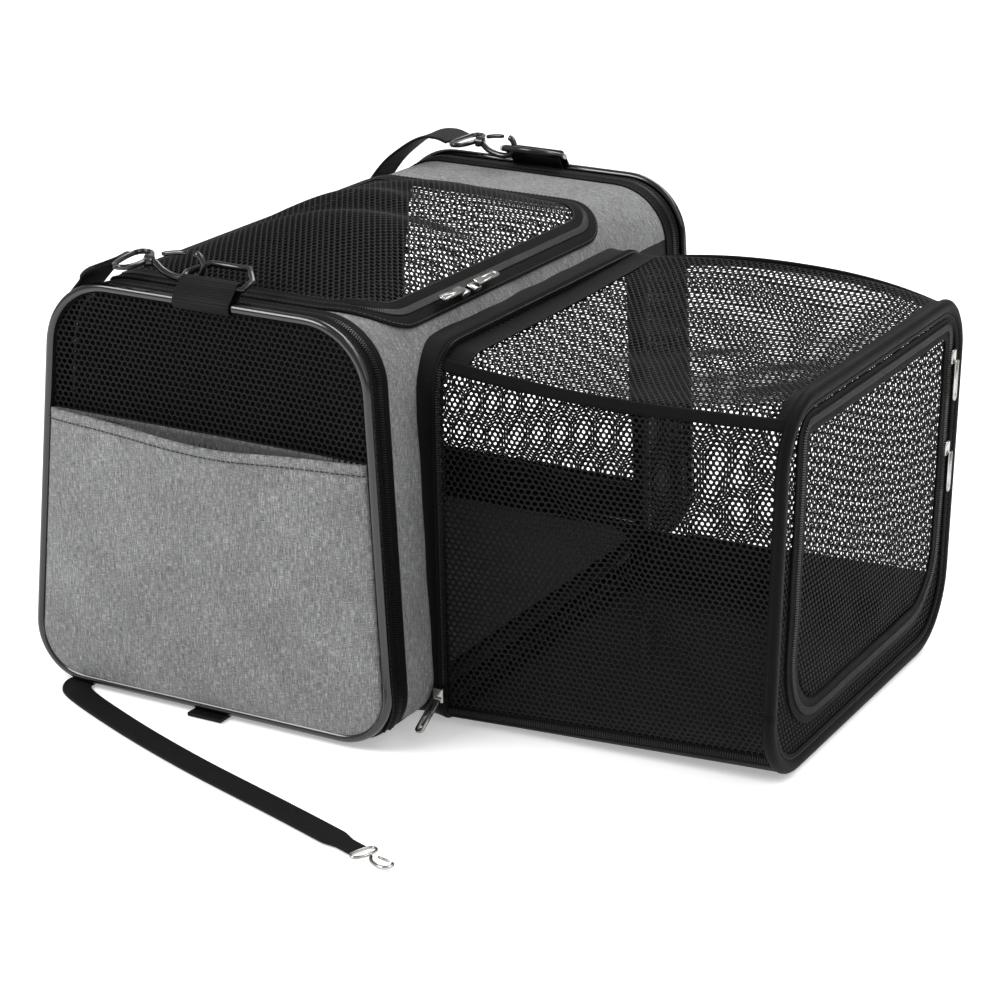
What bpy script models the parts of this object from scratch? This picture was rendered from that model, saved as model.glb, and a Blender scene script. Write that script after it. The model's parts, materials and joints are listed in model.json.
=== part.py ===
"""Soft-sided pet carrier bag with a fold-out mesh extension on its right side.

Carrier coordinates: +X to the extension, +Y from the front end to the rear end, +Z up,
x = y = 0 in the middle of the carrier's floor. The datum empty shifts them so that the
origin is the bottom centre of the whole object.
"""
import math

import bmesh
import bpy
from mathutils import Matrix, Vector

# ------------------------------------------------------------------ driving dimensions (metres)
LENGTH = 0.455           # between the two end panels
BOTTOM_WIDTH = 0.264
TOP_WIDTH = 0.222
HEIGHT = 0.271
BOTTOM_RADIUS = 0.032
TOP_RADIUS = 0.042
WALL = 0.003             # padded fabric
MESH = 0.0015            # net fabric
GAP = 0.0003             # between pieces that touch
PIPING_RADIUS = 0.003
PIPING_LIFT = 0.0062     # centre of the bottom run of the piping, and the end doors' hinge line
RING_RADIUS = 0.0022     # D-ring's wire
DOOR_SILL = 0.012        # the end zips stop at this height
SEAM = 0.232             # height where the side panels are sewn to the top panel
ZIP_START = 0.0056       # from the end plane to the end door's half of the zip
ZIP_MEET = 0.0145        # from the end plane to where the two halves meet
BODY_GAP = 0.0260        # from the end plane to the padded panels
POCKET_TOP = 0.188
POCKET_DEPTH = 0.0095

FLAP_LEFT = -0.088
FLAP_RIGHT = 0.098
FLAP_FRONT = -0.190
FLAP_REAR = 0.128
FLAP_CORNER = 0.038
FLAP_BULGE = 0.030
ZIP_TAPE = 0.010
TAPE_GAP = 0.0015         # between the flap's binding and the zip tape around it

EXT_FRONT = -0.165       # extension frames, centre line of the binding
EXT_REAR = 0.139
EXT_BOTTOM = 0.0060
EXT_TOP = 0.2440
EXT_REACH = 0.358        # x of the outer frame's centre line
EXT_RADIUS = 0.0048      # of the bound wire
EXT_CORNER = 0.028
EXT_BAND = 0.014         # width of the inner frame's binding
ROOT_FOOT = 0.0120       # inner frame's bottom corners
REACH_FOOT = 0.0450      # outer frame's bottom corners
EXT_ROOT = 0.1375        # x where the extension's sides meet the inner frame, at the floor
EXT_LEAN = 0.0100        # the inner frame leans in by this much over its height

DOOR_FRONT = -0.138      # door in the extension's outer panel
DOOR_REAR = 0.116
DOOR_BOTTOM = 0.034
DOOR_TOP = 0.229
DOOR_CORNER = 0.045

WEBBING = 0.0022         # thickness
STRAP_WIDTH = 0.038
TETHER_WIDTH = 0.0205
TETHER_END = 0.0150      # its folded end, through the hook's eye
FOLD_ROWS = 3            # stations over which it narrows
ARC_STEPS = 5            # segments in a quarter turn

SLIDER_SIZE = (0.0095, 0.0072, 0.0030)
PULL_LENGTH = 0.0300     # from the slider's middle
PULL_HALF = 0.0031
PULL_THICKNESS = 0.0014
PULL_PIVOT = -0.0020     # along the slider
PULL_SPLAY = 62          # degrees, the extension's pull rests on the floor

# Snap hook of unit size, in its own plane: X from the strap to the tip
HOOK_BEND = [(0.0106, 0.0), (0.0125, -0.0006), (0.0160, -0.0045), (0.0230, -0.0075),
             (0.0310, -0.0085), (0.0375, -0.0060), (0.0400, 0.0), (0.0375, 0.0050),
             (0.0345, 0.0062)]
HOOK_GATE = [(0.0160, 0.0042), (0.0225, 0.0056), (0.0310, 0.0064)]
EYE_BACK = -0.0060
EYE_FRONT = 0.0040
EYE_NECK = 0.0074
FRONT_HOOK_SIZE = 1.2
REAR_HOOK_SIZE = 1.0
TETHER_HOOK_SIZE = 0.62
STRAP_EYE = 0.0215       # half the slot's width
TETHER_EYE = 0.0092

END = LENGTH / 2
LEFT_REACH = BOTTOM_WIDTH / 2 + PIPING_RADIUS + 0.0002       # to the left sliders' pulls
RIGHT_REACH = EXT_REACH + EXT_RADIUS + 0.0023                # to the extension door's pulls
DATUM = Vector(((LEFT_REACH - RIGHT_REACH) / 2, 0.0038, 0))

# Shoulder strap, from each snap hook to the adjuster behind the carrier
FRONT_ROUTE = [
    (-0.0705, -0.2180, 0.2892), (-0.0830, -0.2190, 0.2862), (-0.0985, -0.2130, 0.2755),
    (-0.1130, -0.2030, 0.2570), (-0.1225, -0.1950, 0.2290), (-0.1310, -0.1880, 0.1850),
    (-0.1385, -0.1800, 0.1350), (-0.1445, -0.1680, 0.0850), (-0.1520, -0.1550, 0.0430),
    (-0.1590, -0.1400, 0.0150), (-0.1630, -0.1200, 0.0046), (-0.1665, -0.0930, 0.0024),
    (-0.1680, -0.0620, 0.0024),
]
REAR_ROUTE = [
    (-0.0605, 0.2075, 0.2886), (-0.0700, 0.2075, 0.2910), (-0.0820, 0.2050, 0.2895),
    (-0.0950, 0.1990, 0.2810), (-0.1080, 0.1920, 0.2670), (-0.1185, 0.1850, 0.2460),
    (-0.1250, 0.1790, 0.2150), (-0.1340, 0.1710, 0.1750), (-0.1425, 0.1600, 0.1300),
    (-0.1475, 0.1460, 0.0850), (-0.1545, 0.1280, 0.0430), (-0.1600, 0.1060, 0.0150),
    (-0.1630, 0.0760, 0.0046), (-0.1660, 0.0400, 0.0024), (-0.1680, 0.0050, 0.0024),
    (-0.1680, -0.0300, 0.0024),
]
TETHER_ROUTE = [
    (-0.1010, -0.2238, 0.0014), (-0.1010, -0.2300, 0.0014), (-0.0950, -0.2395, 0.0014),
    (-0.0800, -0.2490, 0.0014), (-0.0560, -0.2610, 0.0014), (-0.0280, -0.2740, 0.0014),
    (0.0050, -0.2880, 0.0014), (0.0410, -0.3020, 0.0014), (0.0780, -0.3150, 0.0014),
    (0.1140, -0.3275, 0.0014), (0.1500, -0.3405, 0.0014), (0.1820, -0.3525, 0.0014),
]


# ------------------------------------------------------------------ scene and helpers
for old in list(bpy.data.objects):
    bpy.data.objects.remove(old, do_unlink=True)

carrier = bpy.data.collections.new("pet_carrier_bag")
cutters = bpy.data.collections.new("cutters")
bpy.context.scene.collection.children.link(carrier)
bpy.context.scene.collection.children.link(cutters)


def material(name, colour, roughness=0.8, metallic=0.0):
    made = bpy.data.materials.new(name)
    made.use_nodes = True
    shader = made.node_tree.nodes["Principled BSDF"]
    shader.inputs["Base Color"].default_value = (*colour, 1)
    shader.inputs["Roughness"].default_value = roughness
    shader.inputs["Metallic"].default_value = metallic
    return made


HEATHER = (0.19, 0.20, 0.21)
BLACK = (0.012, 0.012, 0.013)
NET = (0.02, 0.02, 0.021)
PVC = (0.01, 0.01, 0.011)
NICKEL = (0.62, 0.61, 0.59)


def empty(name, place, parent=None):
    """An empty on a joint's axis; place is in carrier coordinates."""
    made = bpy.data.objects.new(name, None)
    carrier.objects.link(made)
    made["place"] = list(place)
    if parent:
        made.parent = parent
        place = Vector(place) - Vector(parent["place"])
    made.location = place
    return made


datum = empty("datum", (0, 0, 0))
datum.location = DATUM


def finish(obj, parent, colour, roughness=0.8, metallic=0.0):
    """Link an object whose data is in carrier coordinates, and give it its finish."""
    carrier.objects.link(obj)
    obj.data.materials.append(material(obj.name, colour, roughness, metallic))
    shift = Matrix.Translation(-Vector(parent["place"]))
    obj.data.transform(shift)
    obj.parent = parent
    return obj


def sheet(name, rows, thickness, parent, colour, closed=False, offset=0.0, roughness=0.8):
    """Open surface through rows of points, made solid. closed joins the last row to the first."""
    mesh = bpy.data.meshes.new(name)
    bm = bmesh.new()
    grid = [[bm.verts.new(point) for point in row] for row in rows]
    pairs = list(zip(grid, grid[1:]))
    if closed:
        pairs.append((grid[-1], grid[0]))
    for one, two in pairs:
        for k in range(len(one) - 1):
            bm.faces.new((one[k], one[k + 1], two[k + 1], two[k]))
    bm.to_mesh(mesh)
    bm.free()
    obj = finish(bpy.data.objects.new(name, mesh), parent, colour, roughness)
    solid = obj.modifiers.new("Thickness", "SOLIDIFY")
    solid.thickness = thickness
    solid.offset = offset
    return obj


def tube(name, points, radius, parent, colour, cyclic=False, roughness=0.35, metallic=0.0,
         resolution=2):
    """Round bar along points."""
    curve = bpy.data.curves.new(name, "CURVE")
    curve.dimensions = "3D"
    curve.bevel_depth = radius
    curve.bevel_resolution = resolution
    curve.use_fill_caps = True
    spline = curve.splines.new("POLY")
    spline.points.add(len(points) - 1)
    for knot, point in zip(spline.points, points):
        knot.co = (*point, 1)
    spline.use_cyclic_u = cyclic
    return finish(bpy.data.objects.new(name, curve), parent, colour, roughness, metallic)


def plate(name, outlines, thickness, frame, parent, colour, roughness=0.8, metallic=0.0):
    """Flat piece: outlines (the first is the edge, the others are holes) in frame's XY plane."""
    curve = bpy.data.curves.new(name, "CURVE")
    curve.dimensions = "2D"
    curve.fill_mode = "BOTH"
    curve.extrude = thickness / 2
    for outline in outlines:
        spline = curve.splines.new("POLY")
        spline.points.add(len(outline) - 1)
        for knot, (x, y) in zip(spline.points, outline):
            knot.co = (x, y, 0, 1)
        spline.use_cyclic_u = True
    obj = bpy.data.objects.new(name, curve)
    carrier.objects.link(obj)
    curve.materials.append(material(name, colour, roughness, metallic))
    obj.parent = parent
    obj.matrix_basis = Matrix.Translation(-Vector(parent["place"])) @ frame
    return obj


def block(name, size, frame, parent, colour, bevel=0.0, roughness=0.8, metallic=0.0):
    """Box of the given size, centred on frame, with rounded edges."""
    mesh = bpy.data.meshes.new(name)
    bm = bmesh.new()
    bmesh.ops.create_cube(bm, size=1.0, matrix=frame @ Matrix.Diagonal((*size, 1)))
    bm.to_mesh(mesh)
    bm.free()
    obj = finish(bpy.data.objects.new(name, mesh), parent, colour, roughness, metallic)
    if bevel:
        edge = obj.modifiers.new("Edge", "BEVEL")
        edge.width = bevel
        edge.segments = 2
    return obj


def cutter(name, outline, depth, frame):
    """Prism that a Boolean takes out of a sheet."""
    mesh = bpy.data.meshes.new(name)
    bm = bmesh.new()
    face = bm.faces.new([bm.verts.new(frame @ Vector((x, y, -depth / 2))) for x, y in outline])
    made = bmesh.ops.extrude_face_region(bm, geom=[face])
    move = (frame.to_3x3() @ Vector((0, 0, 1))) * depth
    bmesh.ops.translate(bm, verts=[v for v in made["geom"] if isinstance(v, bmesh.types.BMVert)],
                        vec=move)
    bmesh.ops.recalc_face_normals(bm, faces=bm.faces)
    bm.to_mesh(mesh)
    bm.free()
    obj = bpy.data.objects.new(name, mesh)
    cutters.objects.link(obj)
    obj.parent = datum
    obj.hide_render = True
    obj.display_type = "WIRE"
    return obj


def cut(obj, tool):
    change = obj.modifiers.new("Cut", "BOOLEAN")
    change.operation = "DIFFERENCE"
    change.object = tool


def rounded(corners, radii, steps=ARC_STEPS):
    """Outline of a convex polygon with rounded corners."""
    points = []
    count = len(corners)
    for k, (corner, radius) in enumerate(zip(corners, radii)):
        here = Vector(corner)
        before = (Vector(corners[k - 1]) - here).normalized()
        after = (Vector(corners[(k + 1) % count]) - here).normalized()
        half = before.angle(after) / 2
        middle = here + (before + after).normalized() * radius / math.sin(half)
        start = here + before * radius / math.tan(half) - middle
        end = here + after * radius / math.tan(half) - middle
        sweep = start.angle_signed(end)
        for step in range(steps + 1):
            turn = Matrix.Rotation(-sweep * step / steps, 2)
            points.append(tuple(middle + turn @ start))
    return points


def box_outline(x0, y0, x1, y1, radius, steps=ARC_STEPS):
    corners = [(x0, y0), (x1, y0), (x1, y1), (x0, y1)]
    radii = radius if isinstance(radius, (list, tuple)) else [radius] * 4
    return rounded(corners, radii, steps)


def smooth(route, steps=3):
    """Catmull-Rom curve through the route's points."""
    route = [Vector(point) for point in route]
    padded = [2 * route[0] - route[1]] + route + [2 * route[-1] - route[-2]]
    points = []
    for a, b, c, d in zip(padded, padded[1:], padded[2:], padded[3:]):
        for step in range(steps):
            t = step / steps
            points.append(((2 * b) + (c - a) * t + (2 * a - 5 * b + 4 * c - d) * t * t
                           + (3 * b - a - 3 * c + d) * t ** 3) / 2)
    return points + [route[-1]]


def webbing(name, route, sides, width, parent, end_width=None):
    """Flat strap along a route; sides gives the direction of its width at each route point.
    Its end can be folded narrower."""
    path = smooth(route, 2)
    across = smooth(sides, 2)
    folded = width if end_width is None else end_width
    rows = []
    for k, point in enumerate(path):
        along = path[min(k + 1, len(path) - 1)] - path[max(k - 1, 0)]
        side = across[k] - along * across[k].dot(along) / along.length_squared
        share = min(1, (len(path) - 1 - k) / FOLD_ROWS)
        side = side.normalized() * (folded + (width - folded) * share) / 2
        rows.append([point - side, point + side])
    return sheet(name, rows, WEBBING, parent, BLACK)


def half_width(z):
    return (BOTTOM_WIDTH + (TOP_WIDTH - BOTTOM_WIDTH) * z / HEIGHT) / 2


def section(inset):
    """Carrier's cross-section as (x, z): up the right side, over the top, down the left."""
    low, high = inset, HEIGHT - inset
    corners = [(half_width(low) - inset, low), (half_width(high) - inset, high),
               (-half_width(high) + inset, high), (-half_width(low) + inset, low)]
    bottom, top = BOTTOM_RADIUS - inset, TOP_RADIUS - inset
    return rounded(corners, [bottom, top, top, bottom])


def section_top(x):
    """Height of the carrier's outer surface above x."""
    flat = half_width(HEIGHT) - TOP_RADIUS + 0.004
    if abs(x) <= flat:
        return HEIGHT
    reach = min((abs(x) - flat) / TOP_RADIUS, 0.98)
    return HEIGHT - TOP_RADIUS * (1 - math.sqrt(1 - reach * reach))


IN_XZ = Matrix.Rotation(math.radians(90), 4, "X")
IN_YZ = Matrix.Rotation(math.radians(90), 4, "Z") @ IN_XZ


def extruded(points, y0, y1, stations=2):
    """Rows for a sheet that follows section points (x, z) between two stations along Y."""
    step = (y1 - y0) / (stations - 1)
    return [[(x, y0 + step * k, z) for k in range(stations)] for x, z in points]


def between(points, low, high):
    """Stretch of a rising or falling line (x, z) between two heights."""
    inside = []
    for (x0, z0), (x1, z1) in zip(points, points[1:]):
        for z in (low, high) if z1 > z0 else (high, low):
            if min(z0, z1) < z < max(z0, z1):
                inside.append((x0 + (x1 - x0) * (z - z0) / (z1 - z0), z))
        if low <= z1 <= high:
            inside.append((x1, z1))
    if low <= points[0][1] <= high:
        inside.insert(0, points[0])
    if points[-1][1] > points[0][1]:
        return sorted(inside, key=lambda p: p[1])
    return sorted(inside, key=lambda p: -p[1])


# ------------------------------------------------------------------ carrier body
OUTLINE = section(WALL / 2)
RIGHT = OUTLINE[:len(OUTLINE) // 2]
LEFT = OUTLINE[len(OUTLINE) // 2:]


def carrier_body():
    tray = between(LEFT, 0, DOOR_SILL) + between(RIGHT, 0, DOOR_SILL)
    sheet("bottom_panel", extruded(tray, -END + 0.0048, END - 0.0048), WALL, datum, HEATHER)
    end = END - BODY_GAP - GAP
    low = DOOR_SILL + GAP
    left, right = between(LEFT, low, SEAM), between(RIGHT, low, SEAM)
    top = between(RIGHT, SEAM + GAP, 1) + between(LEFT, SEAM + GAP, 1)
    sheet("left_side_panel", extruded(left, -end, end), WALL, datum, HEATHER)
    wall = sheet("right_side_panel", extruded(right, -end, end), WALL, datum, HEATHER)
    hole = box_outline(EXT_FRONT + 0.006, 0.026, EXT_REAR - 0.006, 0.222, 0.012)
    cut(wall, cutter("extension_hole", hole, 0.1, IN_YZ @ Matrix.Translation((0, 0, 0.12))))
    cover = sheet("top_panel", extruded(top, -end, end), WALL, datum, HEATHER)
    hole = box_outline(FLAP_LEFT - 0.002, FLAP_FRONT - 0.002, FLAP_RIGHT + 0.002,
                       FLAP_REAR + 0.002, [0.010, FLAP_CORNER, FLAP_CORNER, 0.010])
    cut(cover, cutter("flap_hole", hole, 0.1, Matrix.Translation((0, 0, 0.25))))
    mat = box_outline(-0.103, -0.206, 0.103, 0.206, 0.02)
    plate("cabin_mat", [mat], 0.006, Matrix.Translation((0, 0, 0.0095)), datum,
          (0.05, 0.05, 0.055))


def end_zip(name, side, parent, near, far):
    """Half of an end zip: a band that follows the section between two distances from the end."""
    points = between(RIGHT, DOOR_SILL + GAP, 1) + between(LEFT, DOOR_SILL + GAP, 1)
    y0, y1 = sorted((side * (END - near), side * (END - far)))
    return sheet(name, extruded(points, y0, y1), WALL * 0.7, parent, BLACK)


# ------------------------------------------------------------------ end doors
def piping(name, side, parent):
    loop = rounded([(-half_width(0), PIPING_LIFT), (half_width(0), PIPING_LIFT),
                    (half_width(HEIGHT), HEIGHT + PIPING_RADIUS / 2),
                    (-half_width(HEIGHT), HEIGHT + PIPING_RADIUS / 2)],
                   [BOTTOM_RADIUS] * 2 + [TOP_RADIUS] * 2, ARC_STEPS + 1)
    points = [(x, side * END, z) for x, z in loop]
    return tube(name, points, PIPING_RADIUS, parent, PVC, cyclic=True, roughness=0.25)


def panel_outline(low, high, inset=0.0042):
    """Part of an end panel between two heights, inside the piping."""
    base, crest = PIPING_LIFT + inset, HEIGHT - inset
    edge = rounded([(-half_width(0) + inset, base), (half_width(0) - inset, base),
                    (half_width(HEIGHT) - inset, crest), (-half_width(HEIGHT) + inset, crest)],
                   [BOTTOM_RADIUS - inset] * 2 + [TOP_RADIUS - inset] * 2)
    inside = [(x, z) for x, z in edge if low < z < high]
    if low > base:
        inside += [(-half_width(low) + inset, low), (half_width(low) - inset, low)]
    if high < crest:
        inside += [(half_width(high) - inset, high), (-half_width(high) + inset, high)]
    middle = (max(low, base) + min(high, crest)) / 2
    return sorted(inside, key=lambda p: math.atan2(p[1] - middle, p[0]))


def pocket(parent):
    """Slip pocket: a sheet that bellies out from the lining and is open along its top."""
    low = PIPING_LIFT + 0.008
    rows = []
    steps_up, steps_across = 6, 8
    for j in range(steps_up + 1):
        z = low + (POCKET_TOP - low) * j / steps_up
        corner = max(0.0, 0.026 - (z - low))
        half = half_width(z) - 0.0050 - corner * corner / 0.052
        row = []
        for k in range(steps_across + 1):
            u = 2 * k / steps_across - 1
            belly = (1 - u * u) * math.sin(math.pi / 2 * min(1, j / 3))
            row.append((half * u, -END - 0.0022 - POCKET_DEPTH * belly, z))
        rows.append(row)
    return sheet("front_pocket", rows, MESH, parent, HEATHER)


def ring_bar(side):
    """Where a D-ring's straight bar lies, beside the piping."""
    return Vector((0, side * (END - 0.0085), HEIGHT + 0.0115))


def webbing_loop(name, side, parent):
    """Stitched loop of webbing round the piping and the D-ring's bar."""
    pipe = Vector((0, side * END, HEIGHT + PIPING_RADIUS / 2))
    bar = ring_bar(side)
    away = math.atan2(bar.z - pipe.z, side * (pipe.y - bar.y))
    rows = []
    for centre, reach, first in ((bar, RING_RADIUS + 0.0014, away - math.pi / 2),
                                 (pipe, PIPING_RADIUS + 0.0012, away + math.pi / 2)):
        for k in range(7):
            turn = first + math.pi * k / 6
            y = centre.y - side * reach * math.cos(turn)
            z = centre.z + reach * math.sin(turn)
            rows.append([(-0.021, y, z), (0.021, y, z)])
    return sheet(name, rows, 0.0016, parent, BLACK, closed=True)


def d_ring(name, side, parent):
    """Moulded D: a straight bar inside the webbing and a bow that lies back over the top."""
    bar = ring_bar(side)
    plan = [(-0.0225, 0), (0.0225, 0), (0.0235, 0.010), (0.014, 0.0225), (-0.014, 0.0225),
            (-0.0235, 0.010)]
    points = [(x, bar.y - side * y, bar.z + 0.30 * y) for x, y in plan]
    return tube(name, points, RING_RADIUS, parent, PVC, cyclic=True, roughness=0.2)


def end_door(side, label):
    hinge = empty(label + "_door_hinge", (0, side * END, PIPING_LIFT), datum)
    piping(label + "_piping", side, hinge)
    end_zip(label + "_door_zip_half", side, hinge, ZIP_START, ZIP_MEET - GAP)
    end_zip(label + "_body_zip_half", side, datum, ZIP_MEET, BODY_GAP)
    return hinge


def front_door():
    hinge = end_door(-1, "front")
    at = IN_XZ.copy()
    at.translation = (0, -END, 0)
    plate("front_lining", [panel_outline(0, POCKET_TOP - 0.0002)], 0.002, at, hinge, BLACK)
    plate("front_window_net", [panel_outline(POCKET_TOP + 0.0002, 1)], MESH, at, hinge, NET)
    pocket(hinge)
    return hinge


def rear_door():
    hinge = end_door(1, "rear")
    at = IN_XZ.copy()
    at.translation = (0, END, 0)
    plate("rear_window_net", [panel_outline(0.035, 1)], MESH, at, hinge, NET)
    plate("rear_kick_panel", [panel_outline(0, 0.0347)], 0.002, at, hinge, HEATHER)
    return hinge


# ------------------------------------------------------------------ top flap
def flap_height(x, y):
    """Surface of the flap, which domes up from the carrier's top."""
    u = (x - FLAP_LEFT) / (FLAP_RIGHT - FLAP_LEFT)
    v = (y - FLAP_FRONT) / (FLAP_REAR - FLAP_FRONT)
    dome = max(math.sin(math.pi * u), 0) * max(math.sin(math.pi * v), 0) ** 0.8
    return section_top(x) + 0.001 + FLAP_BULGE * dome


def ring_rows(outer, inner, height):
    return [[(*a, height(*a)), (*b, height(*b))] for a, b in zip(outer, inner)]


def top_flap():
    hinge = empty("top_flap_hinge", (FLAP_LEFT - 0.001, 0, section_top(FLAP_LEFT) + 0.001), datum)
    radii = [0.010, FLAP_CORNER, FLAP_CORNER, 0.010]
    edge = box_outline(FLAP_LEFT, FLAP_FRONT, FLAP_RIGHT, FLAP_REAR, radii)
    rings = []
    for share in (0.94, 0.80, 0.58, 0.30):
        mid = ((FLAP_LEFT + FLAP_RIGHT) / 2, (FLAP_FRONT + FLAP_REAR) / 2)
        ring = [(mid[0] + (x - mid[0]) * share, mid[1] + (y - mid[1]) * share) for x, y in edge]
        rings.append([(x, y, flap_height(x, y)) for x, y in ring])
    mesh = bpy.data.meshes.new("top_flap_net")
    bm = bmesh.new()
    loops = [[bm.verts.new(p) for p in ring] for ring in rings]
    count = len(edge)
    for one, two in zip(loops, loops[1:]):
        for k in range(count):
            bm.faces.new((one[k], one[(k + 1) % count], two[(k + 1) % count], two[k]))
    crown = bm.verts.new((*mid, flap_height(*mid)))
    for k in range(count):
        bm.faces.new((loops[-1][k], loops[-1][(k + 1) % count], crown))
    bm.to_mesh(mesh)
    bm.free()
    net = finish(bpy.data.objects.new("top_flap_net", mesh), hinge, NET)
    solid = net.modifiers.new("Thickness", "SOLIDIFY")
    solid.thickness = MESH
    solid.offset = 0
    inner = [(mid[0] + (x - mid[0]) * 0.945, mid[1] + (y - mid[1]) * 0.945) for x, y in edge]
    rows = ring_rows(edge, inner, flap_height)
    sheet("top_flap_binding", rows, 0.003, hinge, BLACK, closed=True)
    grown = box_outline(FLAP_LEFT + 0.006, FLAP_FRONT - ZIP_TAPE, FLAP_RIGHT + ZIP_TAPE,
                        FLAP_REAR + ZIP_TAPE, [0.012, FLAP_CORNER + ZIP_TAPE,
                                               FLAP_CORNER + ZIP_TAPE, 0.012])
    close = box_outline(FLAP_LEFT + 0.006, FLAP_FRONT - TAPE_GAP, FLAP_RIGHT + TAPE_GAP,
                        FLAP_REAR + TAPE_GAP, [0.010, FLAP_CORNER, FLAP_CORNER, 0.010])
    start = ARC_STEPS
    stop = 3 * (ARC_STEPS + 1) + 1
    tape = ring_rows(grown[start:stop], close[start:stop],
                     lambda x, y: section_top(x) + 0.0024)
    sheet("top_zip_tape", tape, 0.0015, datum, BLACK)
    return hinge


# ------------------------------------------------------------------ extension
def ext_root(z):
    """x where the extension's fabric meets the inner frame at height z."""
    return EXT_ROOT - EXT_LEAN * z / EXT_TOP


def frame_outline(grow, foot=EXT_CORNER, steps=ARC_STEPS):
    """Outline of a frame of the extension; foot is the radius of its bottom corners."""
    radii = [foot + grow, foot + grow, EXT_CORNER + grow, EXT_CORNER + grow]
    return box_outline(EXT_FRONT - grow, EXT_BOTTOM - grow, EXT_REAR + grow, EXT_TOP + grow,
                       radii, steps)


def extension():
    lean = math.atan(EXT_LEAN / EXT_TOP)
    at = Matrix.Translation((EXT_ROOT - 0.0027, 0, 0)) @ Matrix.Rotation(-lean, 4, "Y") @ IN_YZ
    band = [frame_outline(0.0055, ROOT_FOOT),
            frame_outline(0.0055 - EXT_BAND, ROOT_FOOT)]
    plate("extension_inner_frame", band, 0.004, at, datum, BLACK)
    slide = empty("extension_slide", (EXT_REACH, 0, 0), datum)
    loop = [(EXT_REACH, y, z) for y, z in frame_outline(0.0, REACH_FOOT, ARC_STEPS + 1)]
    tube("extension_outer_frame", loop, EXT_RADIUS, slide, BLACK, cyclic=True, roughness=0.8)
    at = IN_YZ.copy()
    at.translation = (EXT_REACH, 0, 0)
    hole = box_outline(DOOR_FRONT - 0.0025, DOOR_BOTTOM - 0.0025, DOOR_REAR + 0.0025,
                       DOOR_TOP + 0.0025, [DOOR_CORNER, DOOR_CORNER, 0.006, 0.006])
    plate("extension_outer_net", [frame_outline(-EXT_RADIUS - 0.0004, REACH_FOOT), hole], MESH, at, slide,
          NET)
    reach = EXT_REACH - EXT_RADIUS - GAP
    corner = EXT_CORNER * 0.55
    high, low = EXT_TOP, EXT_BOTTOM - 0.004
    top = [[(ext_root(high) + GAP, y, high - 0.001), (0.25, y, high - 0.004),
            (reach, y, high - 0.001)] for y in (EXT_FRONT + corner, EXT_REAR - corner)]
    sheet("extension_top_net", top, MESH, slide, NET)
    floor = [[(ext_root(low) + GAP, y, low), (reach, y, low)]
             for y in (EXT_FRONT + corner, EXT_REAR - corner)]
    sheet("extension_floor", floor, MESH, slide, BLACK)
    for label, y, lean_in in (("front", EXT_FRONT, 0.004), ("rear", EXT_REAR, -0.004)):
        side = []
        for z in (low + corner, (low + high) / 2, high - corner):
            side.append([(ext_root(z) + GAP, y, z), (0.25, y + lean_in, z), (reach, y, z)])
        sheet("extension_" + label + "_net", side, MESH, slide, NET)
    return slide


def extension_door(slide):
    hinge = empty("extension_door_hinge", (EXT_REACH, 0, DOOR_TOP), slide)
    at = IN_YZ.copy()
    at.translation = (EXT_REACH, 0, 0)
    edge = box_outline(DOOR_FRONT, DOOR_BOTTOM, DOOR_REAR, DOOR_TOP,
                       [DOOR_CORNER, DOOR_CORNER, 0.006, 0.006])
    net = box_outline(DOOR_FRONT + 0.0083, DOOR_BOTTOM + 0.0083, DOOR_REAR - 0.0083,
                      DOOR_TOP - 0.0063, [DOOR_CORNER - 0.008, DOOR_CORNER - 0.008, 0.004, 0.004])
    inner = box_outline(DOOR_FRONT + 0.008, DOOR_BOTTOM + 0.008, DOOR_REAR - 0.008,
                        DOOR_TOP - 0.006, [DOOR_CORNER - 0.008, DOOR_CORNER - 0.008, 0.004,
                                           0.004])
    plate("extension_door_net", [net], MESH, at, hinge, NET)
    plate("extension_door_binding", [edge, inner], 0.003, at, hinge, BLACK)
    return hinge


# ------------------------------------------------------------------ zip sliders and pulls
def slider_frame(place, along, up):
    """Axes of a slider: X along the zip, Z away from the fabric."""
    x = Vector(along).normalized()
    z = Vector(up).normalized()
    y = z.cross(x)
    turn = Matrix((x, y, z)).transposed().to_4x4()
    return Matrix.Translation(place) @ turn


def slider(label, place, along, up, parent, splay=0):
    """Cast slider with its pull lying behind it along the zip, or splayed outward."""
    frame = slider_frame(place, along, up)
    start = empty(label + "_slider_start", place, parent)
    block(label + "_slider", SLIDER_SIZE, frame, start, NICKEL, 0.0008, 0.25, 1.0)
    pivot = frame @ Matrix.Translation((PULL_PIVOT, 0, SLIDER_SIZE[2]))
    hinge = empty(label + "_pull_hinge", pivot.translation, start)
    reach = PULL_LENGTH + PULL_PIVOT
    edge = box_outline(-reach, -PULL_HALF, -0.0002, PULL_HALF, [0.0030, 0.0010, 0.0010, 0.0030], 3)
    hole = [(0.0045 - reach + 0.0013 * math.cos(a * math.pi / 4), 0.0013 * math.sin(a * math.pi / 4))
            for a in range(8)]
    at = pivot @ Matrix.Rotation(math.radians(splay), 4, "Y")
    plate(label + "_pull", [edge, hole], PULL_THICKNESS, at, hinge, NICKEL, 0.25, 1.0)


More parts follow.
